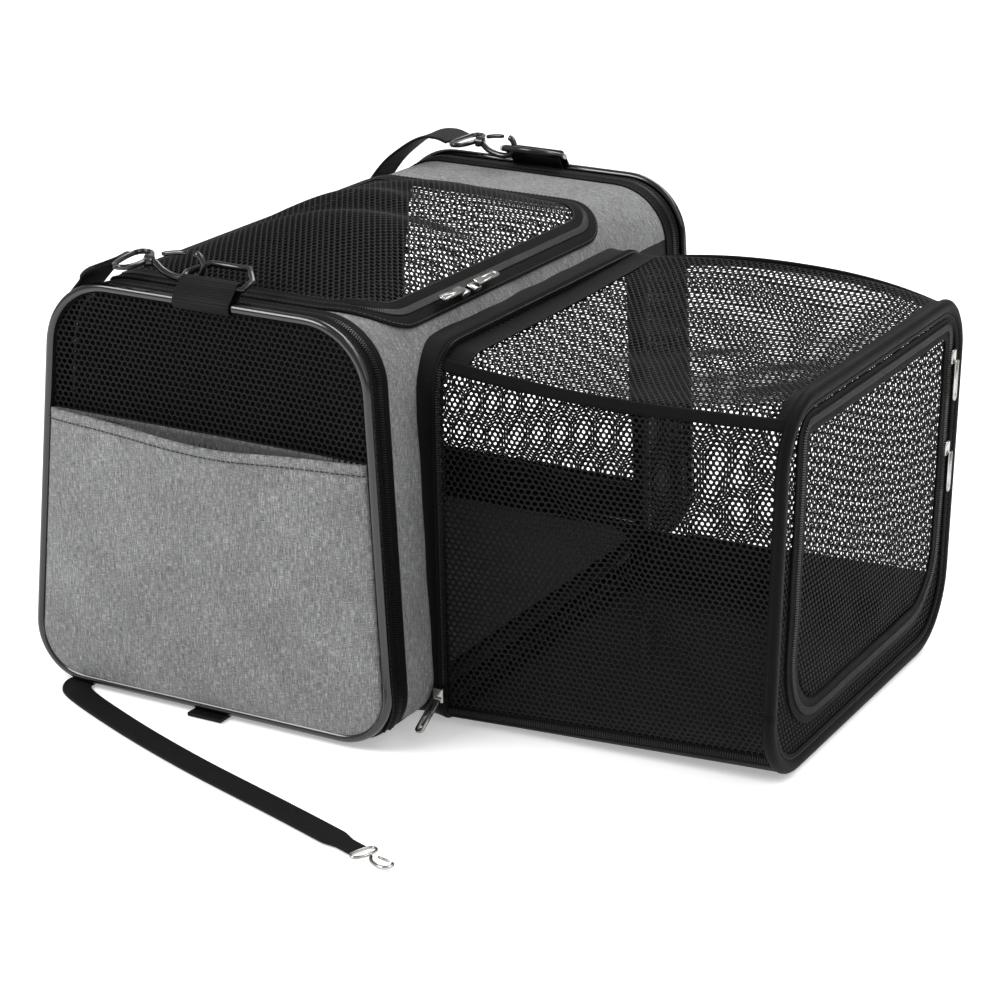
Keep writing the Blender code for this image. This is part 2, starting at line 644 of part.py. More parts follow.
def sliders(slide):
    lean = (half_width(0) - half_width(HEIGHT)) / HEIGHT
    zip_y = END - (ZIP_MEET + BODY_GAP) / 2
    for label, side in (("front_door", -1), ("rear_door", 1)):
        z = 0.060
        place = (-half_width(z) - 0.0018, side * zip_y, z)
        slider(label, place, (lean, 0, 1), (-1, 0, lean), datum)
    z = section_top(FLAP_RIGHT + 0.0055) + 0.0052
    tilt = (0.35, 0, 1)
    slider("flap_front", (FLAP_RIGHT + 0.0072, -0.0900, z), (0, 1, 0), tilt, datum)
    slider("flap_rear", (FLAP_RIGHT + 0.0072, -0.0750, z), (0, -1, 0), tilt, datum)
    lean = EXT_LEAN / EXT_TOP
    z = 0.0225
    slider("extension_zip", (ext_root(z) - 0.0005, EXT_FRONT - 0.0074, z), (-lean, 0, 1),
           (0, -1, 0), datum, PULL_SPLAY)
    x = EXT_REACH + 0.0034
    slider("extension_door_upper", (x, DOOR_REAR + 0.0058, 0.2060), (0, 0, 1), (1, 0, 0), slide)
    slider("extension_door_lower", (x, DOOR_REAR + 0.0058, 0.1420), (0, 0, 1), (1, 0, 0), slide)


# ------------------------------------------------------------------ strap fittings
def snap_hook(label, frame, door, colour, radius, size, roughness, slot, turn, metallic=0.0):
    """Swivel eye, hook and gate. frame: X points from the strap to the hook's tip. slot is half
    the eye's width, and turn how far the eye is swivelled from the hook's plane, in degrees."""
    eye = [(EYE_BACK, -slot), (EYE_BACK, slot), (EYE_FRONT, slot), (EYE_NECK, slot / 3),
           (EYE_NECK, -slot / 3), (EYE_FRONT, -slot)]
    swivel = frame @ Matrix.Rotation(math.radians(turn), 4, "X")
    points = [swivel @ Vector((x * size, y, 0)) for x, y in eye]
    tube(label + "_eye", points, radius * 0.8, door, colour, True, roughness, metallic, 1)
    points = [frame @ Vector((x * size, y * size, 0)) for x, y in HOOK_BEND]
    tube(label, points, radius, door, colour, False, roughness, metallic, 1)
    pivot = frame @ Vector((HOOK_GATE[0][0] * size, HOOK_GATE[0][1] * size, 0))
    hinge = empty(label + "_gate_hinge", pivot, door)
    points = [frame @ Vector((x * size, y * size, 0)) for x, y in HOOK_GATE]
    tube(label + "_gate", points, radius * 0.7, hinge, colour, False, roughness, metallic, 1)


def hook_frame(place, along, up=(0, 0, 1)):
    x = Vector(along).normalized()
    y = Vector(up).cross(x).normalized()
    z = x.cross(y)
    return Matrix.Translation(place) @ Matrix((x, y, z)).transposed().to_4x4()


def strap_fittings(front, rear):
    for label, side, door in (("front", -1, front), ("rear", 1, rear)):
        webbing_loop(label + "_ring_webbing", side, door)
        ring = empty(label + "_ring_hinge", ring_bar(side), door)
        d_ring(label + "_d_ring", side, ring)
    frame = hook_frame((-0.0595, -0.2158, 0.2900), (0.9824, 0.1868, 0), (0, -1, 0))
    snap_hook("front_snap_hook", frame, front, PVC, 0.0026, FRONT_HOOK_SIZE, 0.2, STRAP_EYE, 90)
    frame = hook_frame((-0.0520, 0.2070, 0.2886), (1, 0, 0), (0, -1, 0))
    snap_hook("rear_snap_hook", frame, rear, PVC, 0.0026, REAR_HOOK_SIZE, 0.2, STRAP_EYE, 90)


def straps():
    over, along = (0, 1, 0), (-1, 0, 0)
    turn = [(-0.25, 0.97, 0), (-0.55, 0.83, 0), (-0.85, 0.5, 0)]
    sides = [over] * 5 + turn + [along] * (len(FRONT_ROUTE) - 8)
    webbing("shoulder_strap_front", FRONT_ROUTE, sides, STRAP_WIDTH, datum)
    turn = [(0.25, 0.97, 0), (0.55, 0.83, 0), (0.85, 0.5, 0)]
    along = (1, 0, 0)
    sides = [over] * 7 + turn + [along] * (len(REAR_ROUTE) - 10)
    webbing("shoulder_strap_rear", REAR_ROUTE, sides, STRAP_WIDTH, datum)
    window = [box_outline(-0.0245, -0.0125, 0.0245, 0.0125, 0.003, 2),
              box_outline(-0.0200, -0.0095, 0.0200, -0.0030, 0.001, 1),
              box_outline(-0.0200, 0.0030, 0.0200, 0.0095, 0.001, 1)]
    at = Matrix.Translation((-0.1680, -0.0460, 0.0024))
    plate("strap_adjuster", window, 0.0030, at, datum, PVC, 0.25)
    across = []
    path = [Vector(point) for point in TETHER_ROUTE]
    for k in range(len(path)):
        run = path[min(k + 1, len(path) - 1)] - path[max(k - 1, 0)]
        across.append(Vector((-run.y, run.x, 0)).normalized())
    webbing("tether_webbing", TETHER_ROUTE, across, TETHER_WIDTH, datum, TETHER_END)
    frame = hook_frame((0.1872, -0.3545, 0.0022), (0.934, -0.356, 0))
    snap_hook("tether_hook", frame, datum, NICKEL, 0.0013, TETHER_HOOK_SIZE, 0.25, TETHER_EYE, 0,
              1.0)
    tab = Matrix.Translation((0.0005, -END - 0.0020, 0.0014))
    block("front_bottom_tab", (0.025, 0.0130, WEBBING), tab, datum, BLACK)


def build():
    carrier_body()
    front = front_door()
    rear = rear_door()
    top_flap()
    slide = extension()
    extension_door(slide)
    sliders(slide)
    strap_fittings(front, rear)
    straps()


build()
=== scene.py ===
"""Looks of the soft-sided pet carrier bag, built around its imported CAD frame.

Carrier coordinates: +X to the extension, +Y from the front end to the rear end, +Z up,
x = y = 0 in the middle of the carrier's floor. DATUM is their place in the frame.
"""
import json
import math
import random

import bmesh
import bpy
import numpy as np
from mathutils import Matrix, Vector

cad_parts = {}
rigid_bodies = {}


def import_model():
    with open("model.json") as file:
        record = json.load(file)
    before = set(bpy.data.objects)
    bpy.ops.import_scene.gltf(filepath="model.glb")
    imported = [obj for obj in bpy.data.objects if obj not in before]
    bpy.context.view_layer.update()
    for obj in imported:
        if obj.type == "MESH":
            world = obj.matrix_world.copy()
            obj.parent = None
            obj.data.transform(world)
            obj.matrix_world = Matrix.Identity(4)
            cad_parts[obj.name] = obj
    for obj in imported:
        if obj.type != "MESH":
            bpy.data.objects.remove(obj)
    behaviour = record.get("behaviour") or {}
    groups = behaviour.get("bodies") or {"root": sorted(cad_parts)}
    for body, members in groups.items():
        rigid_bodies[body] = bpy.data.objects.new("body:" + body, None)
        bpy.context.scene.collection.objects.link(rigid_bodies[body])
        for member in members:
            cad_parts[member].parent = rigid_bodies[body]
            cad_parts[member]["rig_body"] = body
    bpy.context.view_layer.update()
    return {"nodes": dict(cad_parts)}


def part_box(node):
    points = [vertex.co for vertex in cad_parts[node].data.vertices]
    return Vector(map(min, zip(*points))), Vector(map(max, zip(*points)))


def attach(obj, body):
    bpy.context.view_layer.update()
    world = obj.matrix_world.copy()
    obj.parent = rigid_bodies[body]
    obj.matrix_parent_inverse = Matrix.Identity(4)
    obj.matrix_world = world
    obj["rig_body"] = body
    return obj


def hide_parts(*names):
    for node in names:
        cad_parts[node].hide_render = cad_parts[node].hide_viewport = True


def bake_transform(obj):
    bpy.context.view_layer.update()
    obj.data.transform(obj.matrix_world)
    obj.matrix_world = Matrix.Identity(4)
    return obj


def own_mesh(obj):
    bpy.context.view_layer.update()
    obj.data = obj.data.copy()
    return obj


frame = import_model()

# ------------------------------------------------------------------ places read from the frame
PIPE_LOW, PIPE_HIGH = (np.array(c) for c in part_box("front_piping"))
REAR_LOW, REAR_HIGH = (np.array(c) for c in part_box("rear_piping"))
PIPE_R = (PIPE_HIGH[1] - PIPE_LOW[1]) / 2
FRONT_Y = (PIPE_LOW[1] + PIPE_HIGH[1]) / 2
REAR_Y = (REAR_LOW[1] + REAR_HIGH[1]) / 2
DATUM = np.array([(PIPE_LOW[0] + PIPE_HIGH[0]) / 2, (FRONT_Y + REAR_Y) / 2, 0.0])
END = (REAR_Y - FRONT_Y) / 2
PIPE_Z = PIPE_LOW[2] + PIPE_R
HEIGHT = PIPE_HIGH[2] - 1.5 * PIPE_R


def carrier_box(node):
    """A node's lowest and highest corner in carrier coordinates."""
    low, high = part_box(node)
    return np.array(low) - DATUM, np.array(high) - DATUM


BOTTOM_HALF = 0.132      # half the carrier's width at its floor
TOP_HALF = 0.111         # and at its top
BOTTOM_RADIUS = 0.032
TOP_RADIUS = 0.042
BODY_GAP = 0.0260        # end doors' depth, zip included
ZIP_MEET = 0.0145        # where the two halves of an end zip meet
EXT_LOW, EXT_HIGH = carrier_box("extension_outer_frame")
EXT_R = (EXT_HIGH[0] - EXT_LOW[0]) / 2
EXT_X = (EXT_LOW[0] + EXT_HIGH[0]) / 2
EXT_FRONT, EXT_REAR = EXT_LOW[1] + EXT_R, EXT_HIGH[1] - EXT_R
EXT_BOTTOM, EXT_TOP = EXT_LOW[2] + EXT_R, EXT_HIGH[2] - EXT_R
EXT_CORNER = 0.028
EXT_ROOT = 0.1375        # inner frame's outer face at the floor
EXT_LEAN = 0.0100        # how far the inner frame leans in toward its top
DOOR_LOW, DOOR_HIGH = carrier_box("extension_door_binding")
DOOR_CORNER = 0.045
POCKET_TOP = carrier_box("front_pocket")[1][2]


def half_width(z):
    return BOTTOM_HALF + (TOP_HALF - BOTTOM_HALF) * z / HEIGHT


# ------------------------------------------------------------------ materials
class Nodes:
    """Short way to build a node material."""

    def __init__(self, name):
        self.material = bpy.data.materials.new(name)
        self.material.use_nodes = True
        self.tree = self.material.node_tree
        self.shader = self.tree.nodes["Principled BSDF"]

    def add(self, kind):
        return self.tree.nodes.new(kind)

    def link(self, source, target):
        self.tree.links.new(source, target)

    def coordinates(self, scale=(1, 1, 1), source="UV"):
        place = self.add("ShaderNodeTexCoord")
        mapping = self.add("ShaderNodeMapping")
        mapping.inputs["Scale"].default_value = scale
        self.link(place.outputs[source], mapping.inputs["Vector"])
        return mapping.outputs["Vector"]

    def noise(self, scale, detail=2.0, stretch=(1, 1, 1), source="UV", rough=0.5):
        node = self.add("ShaderNodeTexNoise")
        node.inputs["Scale"].default_value = scale
        node.inputs["Detail"].default_value = detail
        node.inputs["Roughness"].default_value = rough
        self.link(self.coordinates(stretch, source), node.inputs["Vector"])
        return node.outputs["Fac"]

    def wave(self, pitch, direction):
        """Stripes a pitch apart, in metres."""
        node = self.add("ShaderNodeTexWave")
        node.wave_type = "BANDS"
        node.bands_direction = direction
        node.wave_profile = "SIN"
        node.inputs["Scale"].default_value = math.pi / (10 * pitch)
        node.inputs["Distortion"].default_value = 0.0
        self.link(self.coordinates(), node.inputs["Vector"])
        return node.outputs["Fac"]

    def math(self, operation, a, b=0.5, c=0.0):
        node = self.add("ShaderNodeMath")
        node.operation = operation
        for socket, value in zip(node.inputs, (a, b, c)):
            if isinstance(value, (int, float)):
                socket.default_value = value
            else:
                self.link(value, socket)
        return node.outputs[0]

    def ramp(self, fac, stops):
        node = self.add("ShaderNodeValToRGB")
        ramp = node.color_ramp
        while len(ramp.elements) < len(stops):
            ramp.elements.new(0.5)
        for element, (place, colour) in zip(ramp.elements, stops):
            element.position = place
            element.color = (*colour, 1)
        self.link(fac, node.inputs["Fac"])
        return node.outputs["Color"]

    def bump(self, height, distance, strength):
        node = self.add("ShaderNodeBump")
        node.inputs["Distance"].default_value = distance
        node.inputs["Strength"].default_value = strength
        self.link(height, node.inputs["Height"])
        return node.outputs["Normal"]

    def set(self, **values):
        for key, value in values.items():
            self.shader.inputs[key.replace("_", " ")].default_value = value
        return self

    def wire(self, **sources):
        for key, source in sources.items():
            self.link(source, self.shader.inputs[key.replace("_", " ")])
        return self.material


def grey(value, warm=0.0):
    return (value * (1 + warm), value, value * (1 - warm))


def heather_cloth(name="heather_cloth", dark=0.058, light=0.278):
    """Grey melange plain weave: streaks along both threads and a fine over-under relief."""
    n = Nodes(name)
    up = n.noise(1.0, 3.0, (2600, 210, 1))
    across = n.noise(1.0, 3.0, (230, 2600, 1))
    slub = n.noise(1.0, 2.0, (1100, 60, 1))
    cloud = n.noise(22, 2.0)
    mixed = n.math("MULTIPLY_ADD", up, 0.50, n.math("MULTIPLY", across, 0.46))
    mixed = n.math("MULTIPLY_ADD", slub, 0.22, mixed)
    mixed = n.math("MULTIPLY_ADD", cloud, 0.10, mixed)
    colour = n.ramp(mixed, [(0.46, grey(dark * 0.8)), (0.60, grey((dark + light) * 0.42)),
                            (0.68, grey(light * 0.80, -0.015)),
                            (0.80, grey(light * 1.6, -0.02))])
    weave = n.math("MULTIPLY", n.wave(0.00055, "X"), n.wave(0.00055, "Y"))
    relief = n.math("MULTIPLY_ADD", mixed, 1.4, weave)
    n.set(Sheen_Weight=0.10, Sheen_Roughness=0.5, Specular_IOR_Level=0.20)
    rough = n.math("MULTIPLY_ADD", mixed, 0.2, 0.72)
    return n.wire(Base_Color=colour, Normal=n.bump(relief, 0.0003, 0.7), Roughness=rough)


def black_cloth(name, tone, pitch, ribs, gloss, depth=0.00022, shine=0.16):
    """Ribbed or plain black polyester tape."""
    n = Nodes(name)
    rib = n.wave(pitch, ribs)
    thread = n.noise(1.0, 3.0, (1500, 1500, 1500))
    fade = n.noise(18, 3.0)
    value = n.math("MULTIPLY_ADD", thread, 0.35, n.math("MULTIPLY", fade, 0.35))
    value = n.math("MULTIPLY_ADD", rib, 0.30, value)
    colour = n.ramp(value, [(0.25, grey(tone * 0.55)), (0.55, grey(tone)),
                            (0.85, grey(tone * 2.4, -0.02))])
    relief = n.math("MULTIPLY_ADD", thread, 0.6, rib)
    n.set(Sheen_Weight=0.006, Sheen_Roughness=0.4, Specular_IOR_Level=shine)
    rough = n.math("MULTIPLY_ADD", fade, 0.25, gloss - 0.10)
    return n.wire(Base_Color=colour, Normal=n.bump(relief, depth, 0.8), Roughness=rough)


def net_yarn():
    n = Nodes("net_yarn")
    thread = n.noise(900, 3.0, source="Object")
    fade = n.noise(14, 2.0, source="Object")
    value = n.math("MULTIPLY_ADD", thread, 0.6, n.math("MULTIPLY", fade, 0.4))
    colour = n.ramp(value, [(0.3, grey(0.0025)), (0.55, grey(0.005)), (0.8, grey(0.012))])
    n.set(Specular_IOR_Level=0.14)
    rough = n.math("MULTIPLY_ADD", thread, 0.3, 0.42)
    return n.wire(Base_Color=colour, Normal=n.bump(thread, 0.0002, 0.6), Roughness=rough)


def smooth_black(name, tone, rough, depth, coat=0.0, scale=350):
    """Moulded or extruded black plastic."""
    n = Nodes(name)
    grain = n.noise(scale, 3.0, source="Object")
    wear = n.noise(60, 4.0, source="Object")
    colour = n.ramp(wear, [(0.35, grey(tone * 0.8)), (0.62, grey(tone)), (0.8, grey(tone * 1.9))])
    n.set(Coat_Weight=coat, Coat_Roughness=0.12, Specular_IOR_Level=0.5)
    gloss = n.math("MULTIPLY_ADD", wear, 0.18, rough - 0.06)
    return n.wire(Base_Color=colour, Normal=n.bump(grain, depth, 0.5), Roughness=gloss)


def bright_metal():
    n = Nodes("nickel_plate")
    grain = n.noise(500, 3.0, source="Object")
    wear = n.noise(120, 4.0, source="Object")
    colour = n.ramp(wear, [(0.3, (0.30, 0.29, 0.28)), (0.55, (0.46, 0.45, 0.43)),
                           (0.8, (0.60, 0.59, 0.57))])
    n.set(Metallic=1.0)
    rough = n.math("MULTIPLY_ADD", wear, 0.22, 0.12)
    return n.wire(Base_Color=colour, Normal=n.bump(grain, 0.00006, 0.5), Roughness=rough)


def fleece():
    n = Nodes("fleece")
    tuft = n.noise(420, 4.0, source="Object", rough=0.7)
    fade = n.noise(30, 2.0, source="Object")
    colour = n.ramp(n.math("MULTIPLY_ADD", tuft, 0.6, n.math("MULTIPLY", fade, 0.4)),
                    [(0.3, grey(0.008)), (0.55, grey(0.016)), (0.8, grey(0.032))])
    n.set(Roughness=0.95, Sheen_Weight=0.06, Sheen_Roughness=0.6)
    return n.wire(Base_Color=colour, Normal=n.bump(tuft, 0.0015, 0.8))


HEATHER = heather_cloth()
# A darker copy of the heather: painted shade for the lining seen in the pocket's mouth and for the
# pocket's inner face
HEATHER_PAINTED_SHADE = heather_cloth("heather_painted_shade", 0.030, 0.120)
LINING = black_cloth("lining_cloth", 0.008, 0.0006, "X", 0.8, 0.00012, 0.10)
BINDING = black_cloth("binding_tape", 0.0032, 0.0011, "X", 0.55, shine=0.07)
TAPE = black_cloth("zip_tape", 0.0028, 0.0008, "Y", 0.60, 0.00015, 0.06)
WEBBING = black_cloth("webbing", 0.005, 0.0016, "X", 0.55, 0.00040, 0.14)
BASE_CLOTH = black_cloth("base_cloth", 0.005, 0.0007, "Y", 0.6, 0.00015, 0.12)
NET = net_yarn()
PVC = smooth_black("piping_pvc", 0.003, 0.15, 0.00006, 0.4)
MOULDED = smooth_black("moulded_plastic", 0.005, 0.20, 0.00004, 0.3)
COIL = smooth_black("zip_coil", 0.006, 0.34, 0.00003)
NICKEL = bright_metal()
FLEECE = fleece()
THREAD = smooth_black("black_thread", 0.010, 0.6, 0.00008, scale=3000)


# ------------------------------------------------------------------ mesh helpers
def make(name, points, faces, material, body, uvs=None, smooth=True, edge_angle=50):
    """Mesh piece from carrier coordinates, riding on a body."""
    mesh = bpy.data.meshes.new(name)
    mesh.from_pydata([tuple(p) for p in np.asarray(points) + DATUM], [], faces)
    for slot in material if isinstance(material, (list, tuple)) else [material]:
        mesh.materials.append(slot)
    if uvs is not None:
        layer = mesh.uv_layers.new(name="metres")
        index = np.empty(len(mesh.loops), dtype=np.int64)
        mesh.loops.foreach_get("vertex_index", index)
        layer.data.foreach_set("uv", np.asarray(uvs, dtype=np.float64)[index].ravel())
    if smooth:
        mesh.shade_smooth()
        if edge_angle:
            mesh.set_sharp_from_angle(angle=math.radians(edge_angle))
    mesh.validate()
    obj = bpy.data.objects.new(name, mesh)
    bpy.context.scene.collection.objects.link(obj)
    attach(obj, body)
    return obj


def modify(obj, kind, **values):
    step = obj.modifiers.new(kind.title(), kind)
    for key, value in values.items():
        setattr(step, key, value)
    return step


def grid_faces(rows, columns, wrap=False, keep=None):
    """Quads of a rows x columns grid of points; keep says which quads stay."""
    faces = []
    for j in range(rows if wrap else rows - 1):
        k = (j + 1) % rows
        for i in range(columns - 1):
            if keep is None or keep(j, i):
                faces.append((j * columns + i, j * columns + i + 1, k * columns + i + 1,
                              k * columns + i))
    return faces


def surface(name, rows, material, body, thickness, uvs, keep=None, offset=-1.0, lining=None):
    """Cloth sheet through rows of points, with an optional lining on its other side."""
    grid = np.asarray(rows, dtype=float)
    count, columns = grid.shape[:2]
    slots = [material, lining] if lining else [material]
    faces = grid_faces(count, columns, keep=keep)
    obj = make(name, grid.reshape(-1, 3), faces, slots, body, np.asarray(uvs).reshape(-1, 2))
    drop_loose(obj)
    modify(obj, "SOLIDIFY", thickness=thickness, offset=offset,
           material_offset=1 if lining else 0, material_offset_rim=0)
    return obj


def drop_loose(obj):
    bm = bmesh.new()
    bm.from_mesh(obj.data)
    loose = [v for v in bm.verts if not v.link_faces]
    bmesh.ops.delete(bm, geom=loose, context="VERTS")
    bm.to_mesh(obj.data)
    bm.free()


def unit(v):
    v = np.asarray(v, dtype=float)
    return v / np.maximum(np.linalg.norm(v, axis=-1, keepdims=True), 1e-12)


def tangents(path, closed):
    path = np.asarray(path, dtype=float)
    if closed:
        return unit(np.roll(path, -1, axis=0) - np.roll(path, 1, axis=0))
    return unit(np.gradient(path, axis=0))


def lengths(path):
    """Distance along a path at each of its points."""
    path = np.asarray(path, dtype=float)
    steps = np.linalg.norm(np.diff(path, axis=0), axis=1)
    return np.concatenate([[0], np.cumsum(steps)])


def resample(path, step, closed=False):
    """Points a near-equal step apart along a path."""
    path = np.asarray(path, dtype=float)
    if closed:
        path = np.vstack([path, path[:1]])
    along = lengths(path)
    count = max(2, int(round(along[-1] / step)) + 1)
    marks = np.linspace(0, along[-1], count)
    points = np.stack([np.interp(marks, along, path[:, k]) for k in range(path.shape[1])], axis=1)
    return points[:-1] if closed else points


def sweep(name, path, side, profile, material, body, closed=False, cap=True, scale=None,
          edge_angle=50):
    """Carry a profile of (across, up) points along a path; side is the across direction."""
    path = np.asarray(path, dtype=float)
    side = np.broadcast_to(np.asarray(side, dtype=float), path.shape)
    along = tangents(path, closed)
    across = unit(side - along * np.sum(side * along, axis=1, keepdims=True))
    up = np.cross(across, along)
    profile = np.asarray(profile, dtype=float)
    scale = np.ones(len(path)) if scale is None else np.asarray(scale)
    points = (path[:, None, :] + across[:, None, :] * profile[None, :, 0:1] * scale[:, None, None]
              + up[:, None, :] * profile[None, :, 1:2] * scale[:, None, None])
    count, around = len(path), len(profile)
    faces = []
    for j in range(count if closed else count - 1):
        k = (j + 1) % count
        for i in range(around):
            n = (i + 1) % around
            faces.append((j * around + i, k * around + i, k * around + n, j * around + n))
    if cap and not closed:
        faces.append(tuple(range(around)))
        faces.append(tuple((count - 1) * around + i for i in reversed(range(around))))
    distance = lengths(path)
    girth = lengths(np.vstack([profile, profile[:1]]))[:-1]
    uvs = np.stack(np.meshgrid(distance, girth, indexing="ij"), axis=-1).reshape(-1, 2)
    return make(name, points.reshape(-1, 3), faces, material, body, uvs, edge_angle=edge_angle)


def stadium(width, height, steps=4):
    """Flat profile with round edges."""
    r = height / 2
    points = []
    for sign, first in ((1, -90), (-1, 90)):
        for k in range(steps + 1):
            turn = math.radians(first + 180 * k / steps)
            points.append((sign * (width / 2 - r) + r * math.cos(turn), r * math.sin(turn)))
    return points


def circle(radius, count=12, flat=1.0):
    return [(radius * math.cos(2 * math.pi * k / count),
             radius * flat * math.sin(2 * math.pi * k / count)) for k in range(count)]


def rounded(corners, radii, steps=10):
    """Outline of a convex polygon with rounded corners, starting at the first corner's arc."""
    points = []
    count = len(corners)
    for k, (corner, radius) in enumerate(zip(corners, radii)):
        here = Vector(corner)
        before = (Vector(corners[k - 1]) - here).normalized()
        after = (Vector(corners[(k + 1) % count]) - here).normalized()
        half = before.angle(after) / 2
        middle = here + (before + after).normalized() * radius / math.sin(half)
        start = here + before * radius / math.tan(half) - middle
        end = here + after * radius / math.tan(half) - middle
        sweep_angle = start.angle_signed(end)
        for step in range(steps + 1):
            turn = Matrix.Rotation(-sweep_angle * step / steps, 2)
            points.append(tuple(middle + turn @ start))
    return points


def rectangle(x0, y0, x1, y1, radii, steps=10):
    radii = radii if isinstance(radii, (list, tuple)) else [radii] * 4
    return rounded([(x0, y0), (x1, y0), (x1, y1), (x0, y1)], radii, steps)


def section(grow=0.0, low=0.0, steps=12):
    """Carrier's cross-section as (x, z): up the right side, over the top, down the left."""
    low, high = low - grow, HEIGHT + grow
    corners = [(half_width(low) + grow, low), (half_width(high) + grow, high),
               (-half_width(high) - grow, high), (-half_width(low) - grow, low)]
    bottom, top = BOTTOM_RADIUS + grow, TOP_RADIUS + grow
    return rounded(corners, [bottom, top, top, bottom], steps)


def inside_polygon(points, polygon):
    """Which of the (u, v) points lie inside a polygon."""
    x, y = points[:, 0], points[:, 1]
    inside = np.zeros(len(points), dtype=bool)
    polygon = np.asarray(polygon)
    for (x0, y0), (x1, y1) in zip(polygon, np.roll(polygon, -1, axis=0)):
        if y0 == y1:
            continue
        crossing = (y0 > y) != (y1 > y)
        inside ^= crossing & (x < (x1 - x0) * (y - y0) / (y1 - y0) + x0)
    return inside


# ------------------------------------------------------------------ knitted net
NET_PITCH = 0.0042
NET_HOLE = 0.00142
NET_YARN = 0.00042


def net(name, outline, place, body, pitch=NET_PITCH, hole=NET_HOLE, yarn=NET_YARN, holes=()):
    """Net with round holes in a triangular lattice. outline is a polygon of (u, v) in metres,
    and place turns arrays of u and v into points. The yarn between holes is crowned."""
    outline = np.asarray(outline)
    low, high = outline.min(axis=0), outline.max(axis=0)
    row_step = pitch * math.sqrt(3) / 2
    centres = []
    for j in range(int((high[1] - low[1]) / row_step) + 2):
        us = np.arange(low[0] + (j % 2) * pitch / 2, high[0] + pitch, pitch)
        centres.append(np.stack([us, np.full(len(us), low[1] + j * row_step)], axis=1))
    centres = np.concatenate(centres)
    keep = inside_polygon(centres, outline)
    for gap in holes:
        keep &= ~inside_polygon(centres, gap)
    centres = centres[keep]
    turns = np.radians(30 + 60 * np.arange(6))
    spokes = np.stack([np.cos(turns), np.sin(turns)], axis=1)
    corners = centres[:, None] + spokes[None] * pitch / math.sqrt(3)
    keys = np.round(corners.reshape(-1, 2) / (pitch * 0.05)).astype(np.int64)
    shared, first, index = np.unique(keys, axis=0, return_index=True, return_inverse=True)
    index = index.reshape(len(centres), 6)
    outer = corners.reshape(-1, 2)[first]
    oval = spokes * np.array([1.0, 1.08])
    inner = (centres[:, None] + oval[None] * hole).reshape(-1, 2)

    def lift(uv, height):
        u, v = uv[:, 0], uv[:, 1]
        e = 0.0004
        here = place(u, v)
        du = place(u + e, v) - place(u - e, v)
        dv = place(u, v + e) - place(u, v - e)
        return here + unit(np.cross(du, dv)) * height

    points = np.concatenate([lift(outer, yarn), lift(outer, -yarn), lift(inner, 0.0)])
    count = len(outer)
    faces = []
    edges = {}
    for cell in range(len(centres)):
        base = 2 * count + cell * 6
        ring = index[cell]
        for k in range(6):
            n = (k + 1) % 6
            a, b = int(ring[k]), int(ring[n])
            faces.append((a, b, base + n, base + k))
            faces.append((b + count, a + count, base + k, base + n))
            edges[(a, b)] = edges.get((a, b), 0) + 1
    for a, b in edges:
        if (b, a) not in edges:
            faces.append((b, a, a + count, b + count))
    uvs = np.concatenate([outer, outer, inner])
    return make(name, points, faces, NET, body, uvs, edge_angle=None)


# ------------------------------------------------------------------ zips, stitches
def bricks(name, frames, size, material, body):
    """Many small bars: frames are (centre, long axis, short axis) and size their lengths."""
    long, short, tall = (s / 2 for s in size)
    corners = []
    for a, b, c in ((-1, -1, -1), (1, -1, -1), (1, 1, -1), (-1, 1, -1),
                    (-0.8, -0.6, 1), (0.8, -0.6, 1), (0.8, 0.6, 1), (-0.8, 0.6, 1)):
        corners.append((a * long, b * short, c * tall))
    corners = np.array(corners)
    faces = []
    points = []
    one = ((0, 3, 2, 1), (4, 5, 6, 7), (0, 1, 5, 4), (1, 2, 6, 5), (2, 3, 7, 6), (3, 0, 4, 7))
    for k, (centre, x, y) in enumerate(frames):
        z = np.cross(x, y)
        points.append(np.asarray(centre) + corners[:, 0:1] * x + corners[:, 1:2] * y
                      + corners[:, 2:3] * z)
        faces += [tuple(8 * k + i for i in face) for face in one]
    return make(name, np.concatenate(points), faces, material, body, edge_angle=30)


def spread(vectors, count):
    """One vector, or several at even steps, as count vectors."""
    vectors = np.atleast_2d(np.asarray(vectors, dtype=float))
    marks = np.linspace(0, 1, len(vectors))
    return np.stack([np.interp(np.linspace(0, 1, count), marks, vectors[:, k])
                     for k in range(3)], axis=1)


def zip_teeth(name, path, up, body, side, closed=False, pitch=0.0016, reach=0.0028):
    """One half of a coil zip's teeth beside a path. side is 1 or -1, the half's own side."""
    path = resample(path, pitch, closed)
    up = spread(up, len(path))
    along = tangents(path, closed)
    across = unit(np.cross(along, up))
    normal = np.cross(across, along)
    frames = []
    shift = along * pitch * (0.25 if side > 0 else -0.25)
    for k in range(len(path)):
        centre = path[k] + across[k] * side * reach * 0.42 + shift[k] + normal[k] * 0.0007
        frames.append((centre, across[k], along[k]))
    return bricks(name, frames, (reach, pitch * 0.42, 0.0011), COIL, body)


def stitches(name, path, up, material, body, closed=False, pitch=0.0034, size=0.0024,
             lift=0.0002):
    path = resample(path, pitch, closed)
    along = tangents(path, closed)
    up = spread(up, len(path))
    across = unit(np.cross(along, up))
    normal = np.cross(across, along)
    frames = [(path[k] + normal[k] * lift, along[k], -across[k]) for k in range(len(path))]
    return bricks(name, frames, (size, 0.0007, 0.0005), material, body)


# ------------------------------------------------------------------ surface shapes
TOP_FLAT = TOP_HALF - TOP_RADIUS + 0.004


def top_normal(x):
    """Outward direction of the carrier's top at x."""
    s = np.clip((np.abs(x) - TOP_FLAT) / TOP_RADIUS, 0, 0.98)
    return np.stack([np.sign(x) * s, np.zeros_like(s), np.sqrt(1 - s * s)], axis=-1)


def top_place(x, y, lift=0.0):
    x = np.asarray(x, dtype=float)
    normal = top_normal(x)
    z = HEIGHT - TOP_RADIUS * (1 - normal[..., 2])
    return np.stack([x, np.asarray(y, dtype=float) + 0 * x, z], axis=-1) + normal * lift


